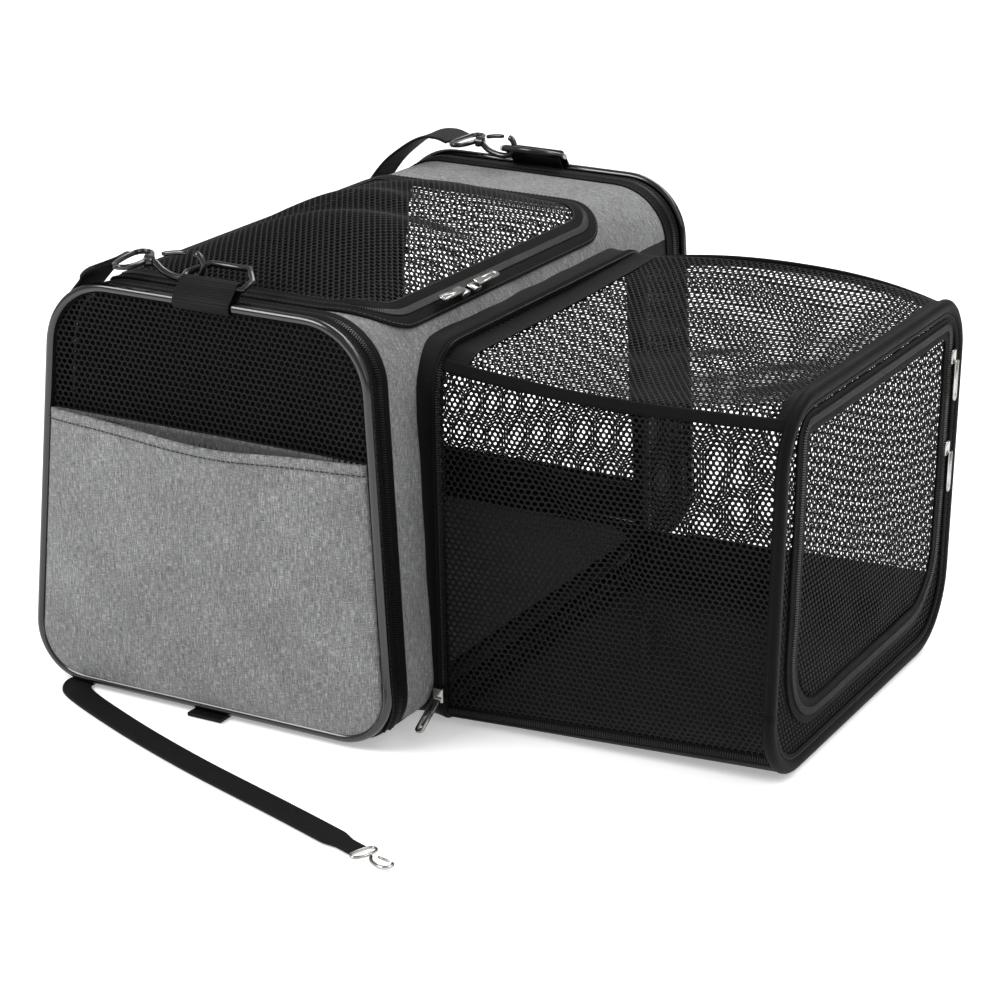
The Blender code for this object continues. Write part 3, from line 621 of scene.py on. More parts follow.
FLAP_X0, FLAP_X1, FLAP_Y0, FLAP_Y1 = -0.0880, 0.0980, -0.1900, 0.1280
FLAP_BULGE = 0.031


def dome(x, y, lift=0.0):
    """The top flap's soft dome."""
    rim = 0.0065
    u = np.clip((x - FLAP_X0 - rim) / (FLAP_X1 - FLAP_X0 - 2 * rim), 0, 1)
    v = np.clip((y - FLAP_Y0 - rim) / (FLAP_Y1 - FLAP_Y0 - 2 * rim), 0, 1)
    rise = FLAP_BULGE * np.sin(np.pi * u) ** 0.9 * np.sin(np.pi * v) ** 0.7
    inner = np.sin(np.pi * u) * np.sin(np.pi * v)
    valley = np.exp(-((v - 0.36 - 0.22 * u) / 0.085) ** 2) + 0.6 * np.exp(
        -((v - 0.74 + 0.18 * u) / 0.07) ** 2)
    dent = 0.0016 * np.sin(23 * x + 4) * np.sin(17 * y + 1) * inner - 0.0085 * valley * inner
    points = top_place(x, y, 0.0010 + lift)
    points[..., 2] += rise + dent
    return points


def slope(place, x, y, e=0.0005):
    """Unit normal of a place(x, y) surface."""
    du = place(x + e, y) - place(x - e, y)
    dv = place(x, y + e) - place(x, y - e)
    return unit(np.cross(du, dv))


def ribbon(name, path, normals, width, thickness, material, body, closed=True, shift=0.0,
           lift=0.0):
    """Flat tape along a path that lies on a surface with these normals."""
    along = tangents(path, closed)
    across = unit(np.cross(normals, along))
    middle = path + across * shift + normals * lift
    return sweep(name, middle, across, stadium(width, thickness, 3), material, body, closed)


def wrinkle(a, b, seed, size=1.0):
    """Soft low waves, about one unit high, over a field of metres."""
    chance = random.Random(seed)
    total = np.zeros_like(a, dtype=float)
    for _ in range(7):
        angle = chance.uniform(0, math.pi)
        length = chance.uniform(0.035, 0.12) * size
        phase = chance.uniform(0, 2 * math.pi)
        run = a * math.cos(angle) + b * math.sin(angle)
        total += np.sin(2 * math.pi * run / length + phase) * chance.uniform(0.2, 0.5)
    return total / 2.2


# ------------------------------------------------------------------ carrier shell
SHELL_Y = END - BODY_GAP + 0.004
outline_points = np.array(section())
closed_outline = resample(outline_points, 0.0028, closed=True)
start = int(np.argmin(np.abs(closed_outline[:, 1] - 0.0125) + (closed_outline[:, 0] < 0)))
closed_outline = np.roll(closed_outline, -start, axis=0)
finish_row = int(np.argmin(np.abs(closed_outline[:, 1] - 0.0125)
                           + (closed_outline[:, 0] > 0)))
upper = closed_outline[:finish_row + 1]
lower = np.vstack([closed_outline[finish_row:], closed_outline[:1]])
BASE_Y = END - 0.0066
FLAP_HOLE = np.array(rectangle(FLAP_X0 - 0.004, FLAP_Y0 - 0.002, FLAP_X1 + 0.002,
                               FLAP_Y1 + 0.002, [0.012, 0.038, 0.038, 0.012]))
GATE_HOLE = np.array(rectangle(EXT_FRONT + 0.002, EXT_BOTTOM + 0.002, EXT_REAR - 0.002,
                               EXT_TOP - 0.002, EXT_CORNER))


def shell(name, outline, material, lining, body, hollow, reach, rise=0.0):
    """Cloth along the carrier. Its last 8 mm at each end rise to meet the doors' sills."""
    out = np.stack([np.gradient(outline[:, 1]), -np.gradient(outline[:, 0])], axis=1)
    out = unit(out)
    girth = lengths(outline)
    s, y = np.meshgrid(girth, np.linspace(-reach, reach, 146), indexing="ij")
    swell = wrinkle(s, y, 5) * 0.0011 + 0.0006
    calm = np.clip((reach - np.abs(y)) / 0.02, 0, 1)
    grid = np.zeros((*s.shape, 3))
    grid[..., 0] = outline[:, 0][:, None] + out[:, 0][:, None] * swell * calm
    grid[..., 1] = y
    grid[..., 2] = outline[:, 1][:, None] + out[:, 1][:, None] * swell * calm
    grid[..., 2] = np.maximum(grid[..., 2], 0.0003)
    grid[..., 2] += rise * np.clip((np.abs(y) - reach + 0.008) / 0.007, 0, 1) ** 1.5
    middle = (grid[:-1, :-1] + grid[1:, 1:]) / 2
    flat = middle.reshape(-1, 3)
    gone = inside_polygon(flat[:, :2], FLAP_HOLE) & (flat[:, 2] > 0.20)
    gone |= inside_polygon(flat[:, 1:], GATE_HOLE) & (flat[:, 0] > 0.09)
    gone = gone.reshape(middle.shape[:2]) & hollow
    uvs = np.stack([y, s], axis=-1)
    return surface(name, grid, material, body, 0.0026, uvs,
                   keep=lambda j, i: not gone[j, i], lining=lining)


cloth = shell("body_cloth", upper, HEATHER, LINING, "carrier", True, SHELL_Y)
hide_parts("left_side_panel", "right_side_panel", "top_panel")
cloth.data.materials.append(BASE_CLOTH)
for face in cloth.data.polygons:
    x, y, z = (c - d for c, d in zip(face.center, DATUM))
    if x > 0.10 and y > EXT_REAR - 0.006 and z < 0.236:
        face.material_index = 2
base = shell("base_cloth", lower, BASE_CLOTH, LINING, "carrier", False, BASE_Y,
             PIPE_Z - 0.0010)
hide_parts("bottom_panel")


# ------------------------------------------------------------------ end doors
PIPE_LINE = np.array(section(grow=0.0015, low=PIPE_Z + 0.0015))
PANEL_LINE = np.array(section(grow=-0.0010, low=PIPE_Z - 0.0010))


def half_at(z, line):
    """Half the width of a symmetric outline at heights z."""
    right = line[line[:, 0] > 0]
    order = np.argsort(right[:, 1])
    return np.interp(z, right[order, 1], right[order, 0])


def zip_run(y, grow, step=0.004):
    """Section line from low on the right, over the top, to low on the left, at y."""
    line = np.array(section(grow=grow))
    line = line[line[:, 1] > 0.0125]
    order = np.argsort(-np.arctan2(line[:, 0], line[:, 1] - 0.13))
    line = resample(line[order], step)
    path = np.column_stack([line[:, 0], np.full(len(line), y), line[:, 1]])
    along = tangents(path, False)
    return path, unit(np.cross([0, 1, 0], along))


def end_zip(end, door, name):
    """Both halves of an end door's coil zip. end is -1 at the front and 1 at the rear."""
    meet = end * (END - ZIP_MEET + 0.0001)
    path, out = zip_run(end * (END - 0.0098), 0.0004)
    part = ribbon(f"{name}_door_tape", path, out, 0.0092, 0.0016, TAPE, door, closed=False)
    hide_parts(f"{name}_door_zip_half")
    path, out = zip_run(end * (END - 0.0202), 0.0004)
    part = ribbon(f"{name}_body_tape", path, out, 0.0114, 0.0018, TAPE, "carrier", closed=False)
    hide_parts(f"{name}_body_zip_half")
    path, out = zip_run(meet, 0.0009)
    path = resample(path, 0.0016)
    out = unit(np.cross([0, 1, 0], tangents(path, False)))
    zip_teeth(f"{name}_door_teeth", path, out, door, 1 if end < 0 else -1)
    zip_teeth(f"{name}_body_teeth", path, out, "carrier", -1 if end < 0 else 1)
    for at, body, tag in ((0.0068, door, "door"), (0.0247, "carrier", "body")):
        path, out = zip_run(end * (END - at), 0.0010)
        path = resample(path, 0.0034)
        out = unit(np.cross([0, 1, 0], tangents(path, False)))
        stitches(f"{name}_{tag}_stitches", path, out, THREAD, body)


def piping(end, door, name):
    line = resample(PIPE_LINE, 0.004, closed=True)
    path = np.column_stack([line[:, 0], np.full(len(line), end * END), line[:, 1]])
    tube = sweep(f"{name}_piping_skin", path, (0, 1, 0), circle(PIPE_R, 16), PVC, door,
                 closed=True, edge_angle=None)
    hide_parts(f"{name}_piping")
    inner = resample(PANEL_LINE, 0.004, closed=True)
    path = np.column_stack([inner[:, 0], np.full(len(inner), end * (END - 0.0026)), inner[:, 1]])
    out = unit(np.cross([0, 1, 0], tangents(path, True)))
    sweep(f"{name}_piping_flange", path, (0, 1, 0), stadium(0.0074, 0.0018, 3), TAPE, door,
          closed=True)


def end_panel(name, door, end, bottom, top, depth, material, lining, thickness, droop=None):
    """Cloth panel across an end between two heights. depth gives how far out each point is, and
    droop how far it hangs down."""
    zs = np.arange(bottom, top + 1e-9, (top - bottom) / max(2, round((top - bottom) / 0.0025)))
    half = half_at(zs, PANEL_LINE) - 0.0005
    us = np.linspace(-1, 1, 97) * (1 if end < 0 else -1)
    x = half[:, None] * us[None]
    z = np.repeat(zs[:, None], len(us), axis=1)
    y = end * (END + depth(x, z, us[None] + 0 * z))
    uvs = np.stack([x, z], axis=-1)
    if droop:
        z = z - droop(z, us[None] + 0 * z)
    return surface(name, np.stack([x, y, z], axis=-1), material, door, thickness, uvs,
                   lining=lining)


def window(name, door, end, bottom, inset, sag):
    line = np.array(section(grow=-inset, low=PIPE_Z - inset))
    line = line[line[:, 1] >= bottom]
    side = half_at(bottom, PANEL_LINE) - inset
    order = np.argsort(np.arctan2(line[:, 1] - bottom - 0.02, line[:, 0]))
    polygon = np.vstack([line[order], [[-side, bottom], [side, bottom]]])
    tall = HEIGHT - bottom

    def place(u, v):
        v_share = np.clip((v - bottom) / tall, 0, 1)
        u_share = np.clip(u / TOP_HALF, -1, 1)
        dip = sag * np.sin(np.pi * v_share) * (1 - u_share ** 2)
        return np.stack([u, end * (END - 0.0006 - dip + 0.0007 * wrinkle(u, v, 9)), v], axis=-1)

    return net(name, polygon, place, door)


# front door: window net, pocket over a lining panel in a darker copy of the heather, which is
# painted shade
for end, name in ((-1, "front"), (1, "rear")):
    end_zip(end, f"{name}_door", name)
    piping(end, f"{name}_door", name)

window_net = window("front_window_mesh", "front_door", -1, POCKET_TOP - 0.008, 0.0005, 0.004)
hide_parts("front_window_net")
# The lining panel's face is the darker heather copy, painted shade inside the pocket's mouth
lining = end_panel("front_lining_cloth", "front_door", -1, PIPE_Z + 0.001, POCKET_TOP + 0.0005,
                   lambda x, z, u: -0.0004 + 0.0006 * wrinkle(x, z, 3), HEATHER_PAINTED_SHADE, LINING,
                   0.0020)
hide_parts("front_lining")


def gape(u):
    """How far the pocket's mouth hangs open, from 0 to 1."""
    return np.exp(-((u - 0.05) / 0.55) ** 2) * (1 - u ** 2)


def pocket_droop(z, u):
    share = np.clip((z - PIPE_Z) / (POCKET_TOP - PIPE_Z), 0, 1)
    return 0.0048 * gape(u) * share ** 4


def pocket_depth(x, z, u):
    rise = np.clip((z - PIPE_Z) / 0.030, 0, 1)
    across = np.sqrt(np.clip(1 - u ** 2, 0, 1))
    belly = across * np.sin(math.pi / 2 * rise)
    lip = (0.0020 * across + 0.0034 * gape(u)) * np.clip(
        (z - (POCKET_TOP - 0.03)) / 0.03, 0, 1) ** 2
    creases = 0.0013 * wrinkle(x, z, 11) * across * rise
    return 0.0014 + 0.0068 * belly + lip + creases


# The inner faces of the pocket and its hem are the darker heather copy, painted shade
pocket = end_panel("front_pocket_cloth", "front_door", -1, PIPE_Z + 0.001, POCKET_TOP,
                   pocket_depth, HEATHER, HEATHER_PAINTED_SHADE, 0.0016, pocket_droop)
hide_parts("front_pocket")
end_panel("front_pocket_hem", "front_door", -1, POCKET_TOP - 0.0068, POCKET_TOP + 0.0006,
                lambda x, z, u: pocket_depth(x, z, u) + 0.0004, HEATHER, HEATHER_PAINTED_SHADE, 0.0022,
                pocket_droop)
hem_share = np.linspace(-0.985, 0.985, 110)
hem_z = np.full(110, POCKET_TOP - 0.0060)
hem_x = hem_share * half_at(hem_z, PANEL_LINE)
hem_path = np.column_stack([hem_x, -END - pocket_depth(hem_x, hem_z, hem_share) - 0.0005,
                            hem_z - pocket_droop(hem_z, hem_share)])
stitches("front_pocket_stitches", hem_path, (0, -1, 0), THREAD, "front_door")

# rear door: net nearly to the floor over a low cloth panel
KICK_TOP = 0.0360
rear_net = window("rear_window_mesh", "rear_door", 1, KICK_TOP - 0.004, 0.0005, 0.005)
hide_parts("rear_window_net")
kick = end_panel("rear_kick_cloth", "rear_door", 1, PIPE_Z + 0.001, KICK_TOP,
                 lambda x, z, u: 0.0004 + 0 * x, HEATHER, LINING, 0.0022)
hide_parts("rear_kick_panel")
for name, end, y, z in (("front", -1, END - 0.0036, POCKET_TOP - 0.0035),
                        ("rear", 1, END + 0.0004, KICK_TOP)):
    half = float(half_at(z, PANEL_LINE))
    path = np.array([(x, end * y, z) for x in np.linspace(-half, half, 40)])
    sweep(f"{name}_window_binding", path, (0, 0, 1), stadium(0.008, 0.0026, 3), BINDING,
          f"{name}_door")

# ------------------------------------------------------------------ top flap
flap_line = resample(rectangle(FLAP_X0, FLAP_Y0, FLAP_X1, FLAP_Y1, [0.010, 0.038, 0.038, 0.010]),
                     0.004, closed=True)
inset_line = resample(rectangle(FLAP_X0 + 0.005, FLAP_Y0 + 0.005, FLAP_X1 - 0.005,
                                FLAP_Y1 - 0.005, [0.006, 0.033, 0.033, 0.006]), 0.004, closed=True)
flap_net = net("top_flap_mesh", inset_line, lambda u, v: dome(u, v, 0.0), "top_flap")
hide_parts("top_flap_net")
FLAP_SHIFT = -0.0004      # the binding's middle, outward from the net's edge
path = dome(inset_line[:, 0], inset_line[:, 1], 0.0006)
normals = unit(slope(dome, inset_line[:, 0], inset_line[:, 1]) + top_normal(inset_line[:, 0]))
binding = ribbon("top_flap_tape", path, normals, 0.0092, 0.0022, TAPE, "top_flap",
                 shift=FLAP_SHIFT)
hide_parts("top_flap_binding")
stitches("top_flap_stitches", path + unit(np.cross(normals, tangents(path, True))) * 0.0032
         + normals * 0.0010, normals, THREAD, "top_flap", closed=False)
zip_line = flap_line.copy()
path = top_place(zip_line[:, 0], zip_line[:, 1], 0.0016)
teeth_line = resample(path, 0.0016, closed=True)
teeth_up = top_normal(teeth_line[:, 0])
zip_teeth("top_flap_teeth", teeth_line, teeth_up, "top_flap", 1)
zip_teeth("top_tape_teeth", teeth_line, teeth_up, "carrier", -1)
outer_line = resample(rectangle(FLAP_X0 - 0.0044, FLAP_Y0 - 0.0044, FLAP_X1 + 0.0044,
                                FLAP_Y1 + 0.0044, [0.014, 0.042, 0.042, 0.014]), 0.004,
                      closed=True)
path = top_place(outer_line[:, 0], outer_line[:, 1], 0.0010)
normals = top_normal(outer_line[:, 0])
tape = ribbon("top_opening_tape", path, normals, 0.0112, 0.0018, TAPE, "carrier")
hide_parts("top_zip_tape")
stitches("top_opening_stitches",
         path - unit(np.cross(normals, tangents(path, True))) * 0.0038 + normals * 0.0010,
         normals, THREAD, "carrier")


# ------------------------------------------------------------------ extension
def root(z):
    """Where the inner frame's outer face is."""
    return EXT_ROOT - EXT_LEAN * np.clip(z, 0, 0.25) / EXT_TOP


def frame_path(grow, corner, x, step=0.004, foot=None):
    """Closed line round a frame of the tent; foot is the radius of its bottom corners."""
    foot = corner if foot is None else foot
    line = resample(rectangle(EXT_FRONT - grow, EXT_BOTTOM - grow, EXT_REAR + grow,
                              EXT_TOP + grow, [foot, foot, corner, corner]), step, closed=True)
    xs = root(line[:, 1]) if x is None else np.full(len(line), x)
    return np.column_stack([xs, line])


FOOT = 0.0120            # inner frame's bottom corners
REACH_FOOT = 0.0450      # outer frame's bottom corners
REACH_CORNER = 0.0380    # outer frame's top corners
lean = unit(np.array([1.0, 0.0, EXT_LEAN / EXT_TOP]))
path = frame_path(-0.0015, EXT_CORNER - 0.0015, None, foot=FOOT - 0.0015)
inner = ribbon("extension_inner_band", path, lean, 0.0140, 0.0036, BINDING, "carrier",
               lift=-0.0018)
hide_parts("extension_inner_frame")
path = frame_path(0.0012, EXT_CORNER, None, 0.0016, FOOT)
zip_teeth("extension_inner_teeth_a", path + lean * 0.0004, lean, "carrier", 1)
zip_teeth("extension_inner_teeth_b", path + lean * 0.0004, lean, "carrier", -1)
path = frame_path(-0.0065, EXT_CORNER - 0.006, None, foot=FOOT - 0.0065)
stitches("extension_inner_stitches", path + lean * 0.0003, lean, THREAD, "carrier")


def collar():
    """Gusset of black cloth between the carrier's wall and the inner frame."""
    near = frame_path(0.0030, EXT_CORNER + 0.001, None, foot=FOOT)
    wall = frame_path(0.0030, EXT_CORNER + 0.001, None, foot=FOOT)
    height = np.clip(wall[:, 2], 0, HEIGHT - 0.006)
    wall[:, 0] = half_at(height, outline_points) - 0.0035
    rows = []
    for share in np.linspace(0, 1, 9):
        pinch = 0.0016 * math.sin(math.pi * share)
        centre = np.array([0, (EXT_FRONT + EXT_REAR) / 2, (EXT_BOTTOM + EXT_TOP) / 2])
        row = near * (1 - share) + wall * share
        inward = unit((centre - row) * np.array([0, 1, 1]))
        rows.append(row + inward * pinch)
    grid = np.stack(rows)
    grid = np.concatenate([grid, grid[:, :1]], axis=1)
    around = lengths(grid[0])
    uvs = np.stack(np.meshgrid(np.linspace(0, 0.02, 9), around, indexing="ij"), axis=-1)
    return surface("extension_gusset", grid, BASE_CLOTH, "carrier", 0.0014, uvs)


collar()

path = frame_path(0.0, REACH_CORNER, EXT_X, foot=REACH_FOOT)
outer = sweep("extension_outer_sleeve", path, (1, 0, 0),
              [(0.0040 * math.cos(t), 0.0048 * math.sin(t))
               for t in np.linspace(0, 2 * math.pi, 17)[:-1]], BINDING, "extension", closed=True,
              edge_angle=None)
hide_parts("extension_outer_frame")
path = frame_path(-0.0052, REACH_CORNER - 0.005, EXT_X + 0.0012, foot=REACH_FOOT - 0.005)
ribbon("extension_outer_seam", path, np.array([1.0, 0, 0]), 0.0052, 0.0020, BINDING,
       "extension")
stitches("extension_outer_stitches", path + np.array([0.0011, 0, 0]), (1, 0, 0), THREAD,
         "extension")

DOOR = [DOOR_LOW[1] + 0.004, DOOR_LOW[2] + 0.004, DOOR_HIGH[1] - 0.004, DOOR_HIGH[2] - 0.004]
DOOR_RADII = [DOOR_CORNER - 0.004, DOOR_CORNER - 0.004, 0.008, 0.008]
door_line = np.array(rectangle(*DOOR, DOOR_RADII))


def outer_place(u, v, lift=0.0):
    a = np.clip((u - EXT_FRONT) / (EXT_REAR - EXT_FRONT), 0, 1)
    b = np.clip((v - EXT_BOTTOM) / (EXT_TOP - EXT_BOTTOM), 0, 1)
    swell = 0.0016 * np.sin(np.pi * a) * np.sin(np.pi * b) * (1 + wrinkle(u, v, 21))
    return np.stack([EXT_X + swell + lift, u, v], axis=-1)


outer_net = net("extension_outer_mesh",
                rectangle(EXT_FRONT + 0.003, EXT_BOTTOM + 0.003, EXT_REAR - 0.003,
                          EXT_TOP - 0.003, [REACH_FOOT - 0.003, REACH_FOOT - 0.003,
                                            REACH_CORNER, REACH_CORNER]),
                outer_place, "extension", holes=(door_line,))
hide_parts("extension_outer_net")
door_net = net("extension_door_mesh",
               rectangle(DOOR[0] + 0.004, DOOR[1] + 0.004, DOOR[2] - 0.004, DOOR[3] - 0.001,
                         DOOR_RADII), lambda u, v: outer_place(u, v, 0.0008), "extension_door",
               hole=0.00130)
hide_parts("extension_door_net")
line = resample(rectangle(DOOR[0], DOOR[1], DOOR[2], DOOR[3], DOOR_RADII), 0.004, closed=True)
path = outer_place(line[:, 0], line[:, 1], 0.0016)
door_tape = ribbon("extension_door_tape", path, np.array([1.0, 0, 0]), 0.0076, 0.0020, TAPE,
                   "extension_door")
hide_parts("extension_door_binding")
grown = rectangle(DOOR[0] - 0.0044, DOOR[1] - 0.0044, DOOR[2] + 0.0044, DOOR[3] + 0.0044,
                  [DOOR_CORNER, DOOR_CORNER, 0.010, 0.010])
line = resample(grown, 0.0016, closed=True)
path = outer_place(line[:, 0], line[:, 1], 0.0020)
zip_teeth("extension_door_teeth_a", path, (1.0, 0, 0), "extension_door", 1)
zip_teeth("extension_door_teeth_b", path, (1.0, 0, 0), "extension", -1)
grown = rectangle(DOOR[0] - 0.0085, DOOR[1] - 0.0085, DOOR[2] + 0.0085, DOOR[3] + 0.0070,
                  [DOOR_CORNER + 0.004, DOOR_CORNER + 0.004, 0.014, 0.014])
line = resample(grown, 0.004, closed=True)
path = outer_place(line[:, 0], line[:, 1], 0.0014)
ribbon("extension_door_frame_tape", path, np.array([1.0, 0, 0]), 0.0076, 0.0018, TAPE,
       "extension")


def fold(piece):
    """Give a piece of the tent its own copy of its mesh."""
    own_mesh(piece)
    return piece


REACH = EXT_X - EXT_ROOT


def side_sag(share, side=0.0):
    """How far the tent's top hangs between its frames; side goes from 0, front, to 1, rear,
    where it is pulled up a little instead."""
    return 0.0105 * (1 - 1.6 * side) * np.sin(np.pi * np.clip(share, 0, 1)) ** 0.8


def corner_radius(share):
    """The tent's edges are round at its frames and sharper between them."""
    share = np.clip(share, 0, 1)
    radius = EXT_CORNER + (REACH_CORNER - EXT_CORNER) * share
    return radius * (0.34 + 0.66 * np.abs(2 * share - 1) ** 2.5)


SEAM_IN = 1 - math.sqrt(0.5)     # a 45 degree point's distance from the sides, per radius


def side_place(end):
    """Net between the frames on one side, from its lower seam (v = 0) to its upper one."""
    base_y = EXT_FRONT if end < 0 else EXT_REAR
    tall = EXT_TOP - EXT_BOTTOM

    def place(u, v):
        share = np.clip(u / REACH, 0, 1)
        radius = corner_radius(share)
        rise = np.clip(v / tall, 0, 1)
        foot = FOOT * (1 - share) + REACH_FOOT * share
        low = EXT_BOTTOM + foot * SEAM_IN
        high = EXT_TOP - radius * SEAM_IN - side_sag(share, float(end > 0))
        z = low + (high - low) * rise
        top_in = np.clip(z - (high - radius * (1 - SEAM_IN)), 0, radius)
        low_in = np.clip(low + foot * (1 - SEAM_IN) - z, 0, foot)
        inward = radius - np.sqrt(np.clip(radius ** 2 - top_in ** 2, 0, None))
        inward = inward + foot - np.sqrt(np.clip(foot ** 2 - low_in ** 2, 0, None))
        x = root(z) + (EXT_X - root(z)) * share
        fade = np.sin(np.pi * share) ** 0.6 * np.sin(np.pi * rise) ** 0.6
        slack = 0.0065 * fade
        for a, b in ((share - rise, 0.0040), (share + rise - 1, 0.0030)):
            slack = slack + b * fade * np.exp(-(a / 0.045) ** 2)
        slack = slack + 0.0018 * wrinkle(u, v, 31 + end) * fade
        pleat = np.exp(-((share - 0.62) / 0.018) ** 2) * np.exp(-((rise - 0.34) / 0.11) ** 2)
        return np.stack([x, base_y - end * (slack + inward - 0.0040 * pleat), z], axis=-1)

    return place


def top_sheet(u, v):
    """Top net, between the two upper seams (v from 0 at the front to 1 at the rear)."""
    share = np.clip(u / REACH, 0, 1)
    radius = corner_radius(share)
    side = np.clip((v - EXT_FRONT) / (EXT_REAR - EXT_FRONT), 0, 1)
    y0, y1 = EXT_FRONT + radius * SEAM_IN, EXT_REAR - radius * SEAM_IN
    y = y0 + (y1 - y0) * side
    edge = np.minimum(y - y0, y1 - y)
    over = np.clip(radius * (1 - SEAM_IN) - edge, 0, radius)
    drop = radius - np.sqrt(np.clip(radius ** 2 - over ** 2, 0, None))
    middle = 0.0100 * np.sin(np.pi * share) ** 0.8 * np.sin(np.pi * side)
    creases = 0.0018 * wrinkle(u, v, 41) * np.sin(np.pi * share) * np.sin(np.pi * side)
    z = EXT_TOP - side_sag(share, side) - drop - middle + creases
    return np.stack([root(z) + (EXT_X - root(z)) * share, y, z], axis=-1)


def bottom_sheet(u, v):
    share = np.clip(u / REACH, 0, 1)
    foot = FOOT * (1 - share) + REACH_FOOT * share
    side = np.clip((v - EXT_FRONT) / (EXT_REAR - EXT_FRONT), 0, 1)
    y0, y1 = EXT_FRONT + foot * SEAM_IN, EXT_REAR - foot * SEAM_IN
    y = y0 + (y1 - y0) * side
    over = np.clip(foot * (1 - SEAM_IN) - np.minimum(y - y0, y1 - y), 0, foot)
    climb = foot - np.sqrt(np.clip(foot ** 2 - over ** 2, 0, None))
    swell = (0.0012 + 0.0010 * wrinkle(u, v, 51)) * np.sin(np.pi * side)
    z = EXT_BOTTOM - 0.0030 + climb + swell
    return np.stack([root(z) + (EXT_X - root(z)) * share, y, z], axis=-1)


def cloth_panel(name, place, u0, v0, u1, v1, material, thickness):
    """Cloth over part of a place(u, v) surface, made solid."""
    us, vs = np.meshgrid(np.linspace(u0, u1, 64), np.linspace(v0, v1, 84))
    flip = place(us, vs)
    panel = surface(name, flip, material, "carrier", thickness, np.stack([us, vs], axis=-1))
    bpy.context.view_layer.update()
    solid = bpy.data.meshes.new_from_object(
        panel.evaluated_get(bpy.context.evaluated_depsgraph_get()))
    panel.modifiers.clear()
    panel.data = solid
    return panel


def tent_edge(name, place, v, width, material, up, thick=0.0030):
    """Binding along a seam of the tent, between its two frames."""
    us = np.linspace(0.0, REACH, 64)
    path = place(us, np.full(64, v))
    edge = sweep(name, path, up, stadium(width, thick, 4), material, "carrier")
    return fold(edge), path


TALL = EXT_TOP - EXT_BOTTOM
for end, name in ((-1, "front"), (1, "rear")):
    place = side_place(end)
    piece = net(f"extension_{name}_mesh", rectangle(0.001, 0.001, REACH - 0.001, TALL, 0.003),
                place, "carrier")
    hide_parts(f"extension_{name}_net")
    fold(piece)
    tent_edge(f"extension_{name}_top_binding", place, TALL, 0.0088 if end < 0 else 0.0120,
              BINDING, (0, -end * 0.7, 0.7), 0.0034)
    edge, path = tent_edge(f"extension_{name}_bottom_binding", place, 0.0, 0.0100, TAPE,
                           (0, end * 0.35, 0.9), 0.0026)
    if end < 0:
        line = resample(path + np.array([0, -0.0018, 0.0]), 0.0016)
        fold(zip_teeth("extension_bottom_teeth_a", line, (0, -0.9, -0.35), "carrier", 1))
        fold(zip_teeth("extension_bottom_teeth_b", line, (0, -0.9, -0.35), "carrier", -1))
    else:
        band = cloth_panel("extension_rear_skirt", lambda u, v: place(u, v) + np.array(
            [0, -0.0012, 0]), 0.0, 0.0, REACH, 0.030, BASE_CLOTH, 0.0012)
        fold(band)

top_net = net("extension_top_mesh", rectangle(0.001, EXT_FRONT + 0.001, REACH - 0.001,
                                              EXT_REAR - 0.001, 0.004), top_sheet, "carrier")
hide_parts("extension_top_net")
fold(top_net)
for name, across, at in (("inner", 0.0185, 0.0085), ("outer", 0.0095, REACH - 0.0050)):
    vs = np.linspace(EXT_FRONT + 0.001, EXT_REAR - 0.001, 90)
    path = top_sheet(np.full(90, at), vs) + np.array([0, 0, 0.0008])
    band = sweep(f"extension_top_{name}_tape", path, (1.0, 0, 0), stadium(across, 0.0018, 3),
                 BINDING, "carrier")
    fold(band)
floor = cloth_panel("extension_floor_cloth", bottom_sheet, 0.0, EXT_FRONT, REACH, EXT_REAR,
                    BASE_CLOTH, 0.0014)
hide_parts("extension_floor")
fold(floor)

# ------------------------------------------------------------------ straps and tether
STRAP_WIDTH = 0.038
TETHER_WIDTH = 0.0205
TETHER_END = 0.0150      # the tether's width where it is folded into its hook
WEB_THICK = 0.0022
FRONT_ROUTE = ((-0.0705, -0.2180, 0.2892), (-0.0800, -0.2150, 0.2850), (-0.0900, -0.2085, 0.2770),
               (-0.1145, -0.2010, 0.2500), (-0.1225, -0.1950, 0.2290), (-0.1310, -0.1880, 0.1850),
               (-0.1385, -0.1800, 0.1350), (-0.1445, -0.1680, 0.0850), (-0.1520, -0.1550, 0.0430),
               (-0.1590, -0.1400, 0.0150), (-0.1630, -0.1200, 0.0046), (-0.1665, -0.0930, 0.0024),
               (-0.1680, -0.0620, 0.0024))
FRONT_SIDES = [(0, 1, 0)] * 5 + [(-.25, .97, 0), (-.55, .83, 0), (-.85, .5, 0)] + [(-1, 0, 0)] * 5
REAR_ROUTE = ((-0.0605, 0.2075, 0.2886), (-0.0700, 0.2075, 0.2910), (-0.0820, 0.2050, 0.2895),
              (-0.0950, 0.1990, 0.2810), (-0.1080, 0.1920, 0.2670), (-0.1185, 0.1850, 0.2460),
              (-0.1250, 0.1790, 0.2150), (-0.1340, 0.1710, 0.1750), (-0.1425, 0.1600, 0.1300),
              (-0.1475, 0.1460, 0.0850), (-0.1545, 0.1280, 0.0430), (-0.1600, 0.1060, 0.0150),
              (-0.1630, 0.0760, 0.0046), (-0.1660, 0.0400, 0.0024), (-0.1680, 0.0050, 0.0024),
              (-0.1680, -0.0300, 0.0024))
REAR_SIDES = [(0, 1, 0)] * 7 + [(.25, .97, 0), (.55, .83, 0), (.85, .5, 0)] + [(1, 0, 0)] * 6
TETHER_ROUTE = ((-0.1010, -0.2238), (-0.1010, -0.2300), (-0.0950, -0.2395), (-0.0800, -0.2490),
                (-0.0560, -0.2610), (-0.0280, -0.2740), (0.0050, -0.2880), (0.0410, -0.3020),
                (0.0780, -0.3150), (0.1140, -0.3275), (0.1500, -0.3405), (0.1820, -0.3525))


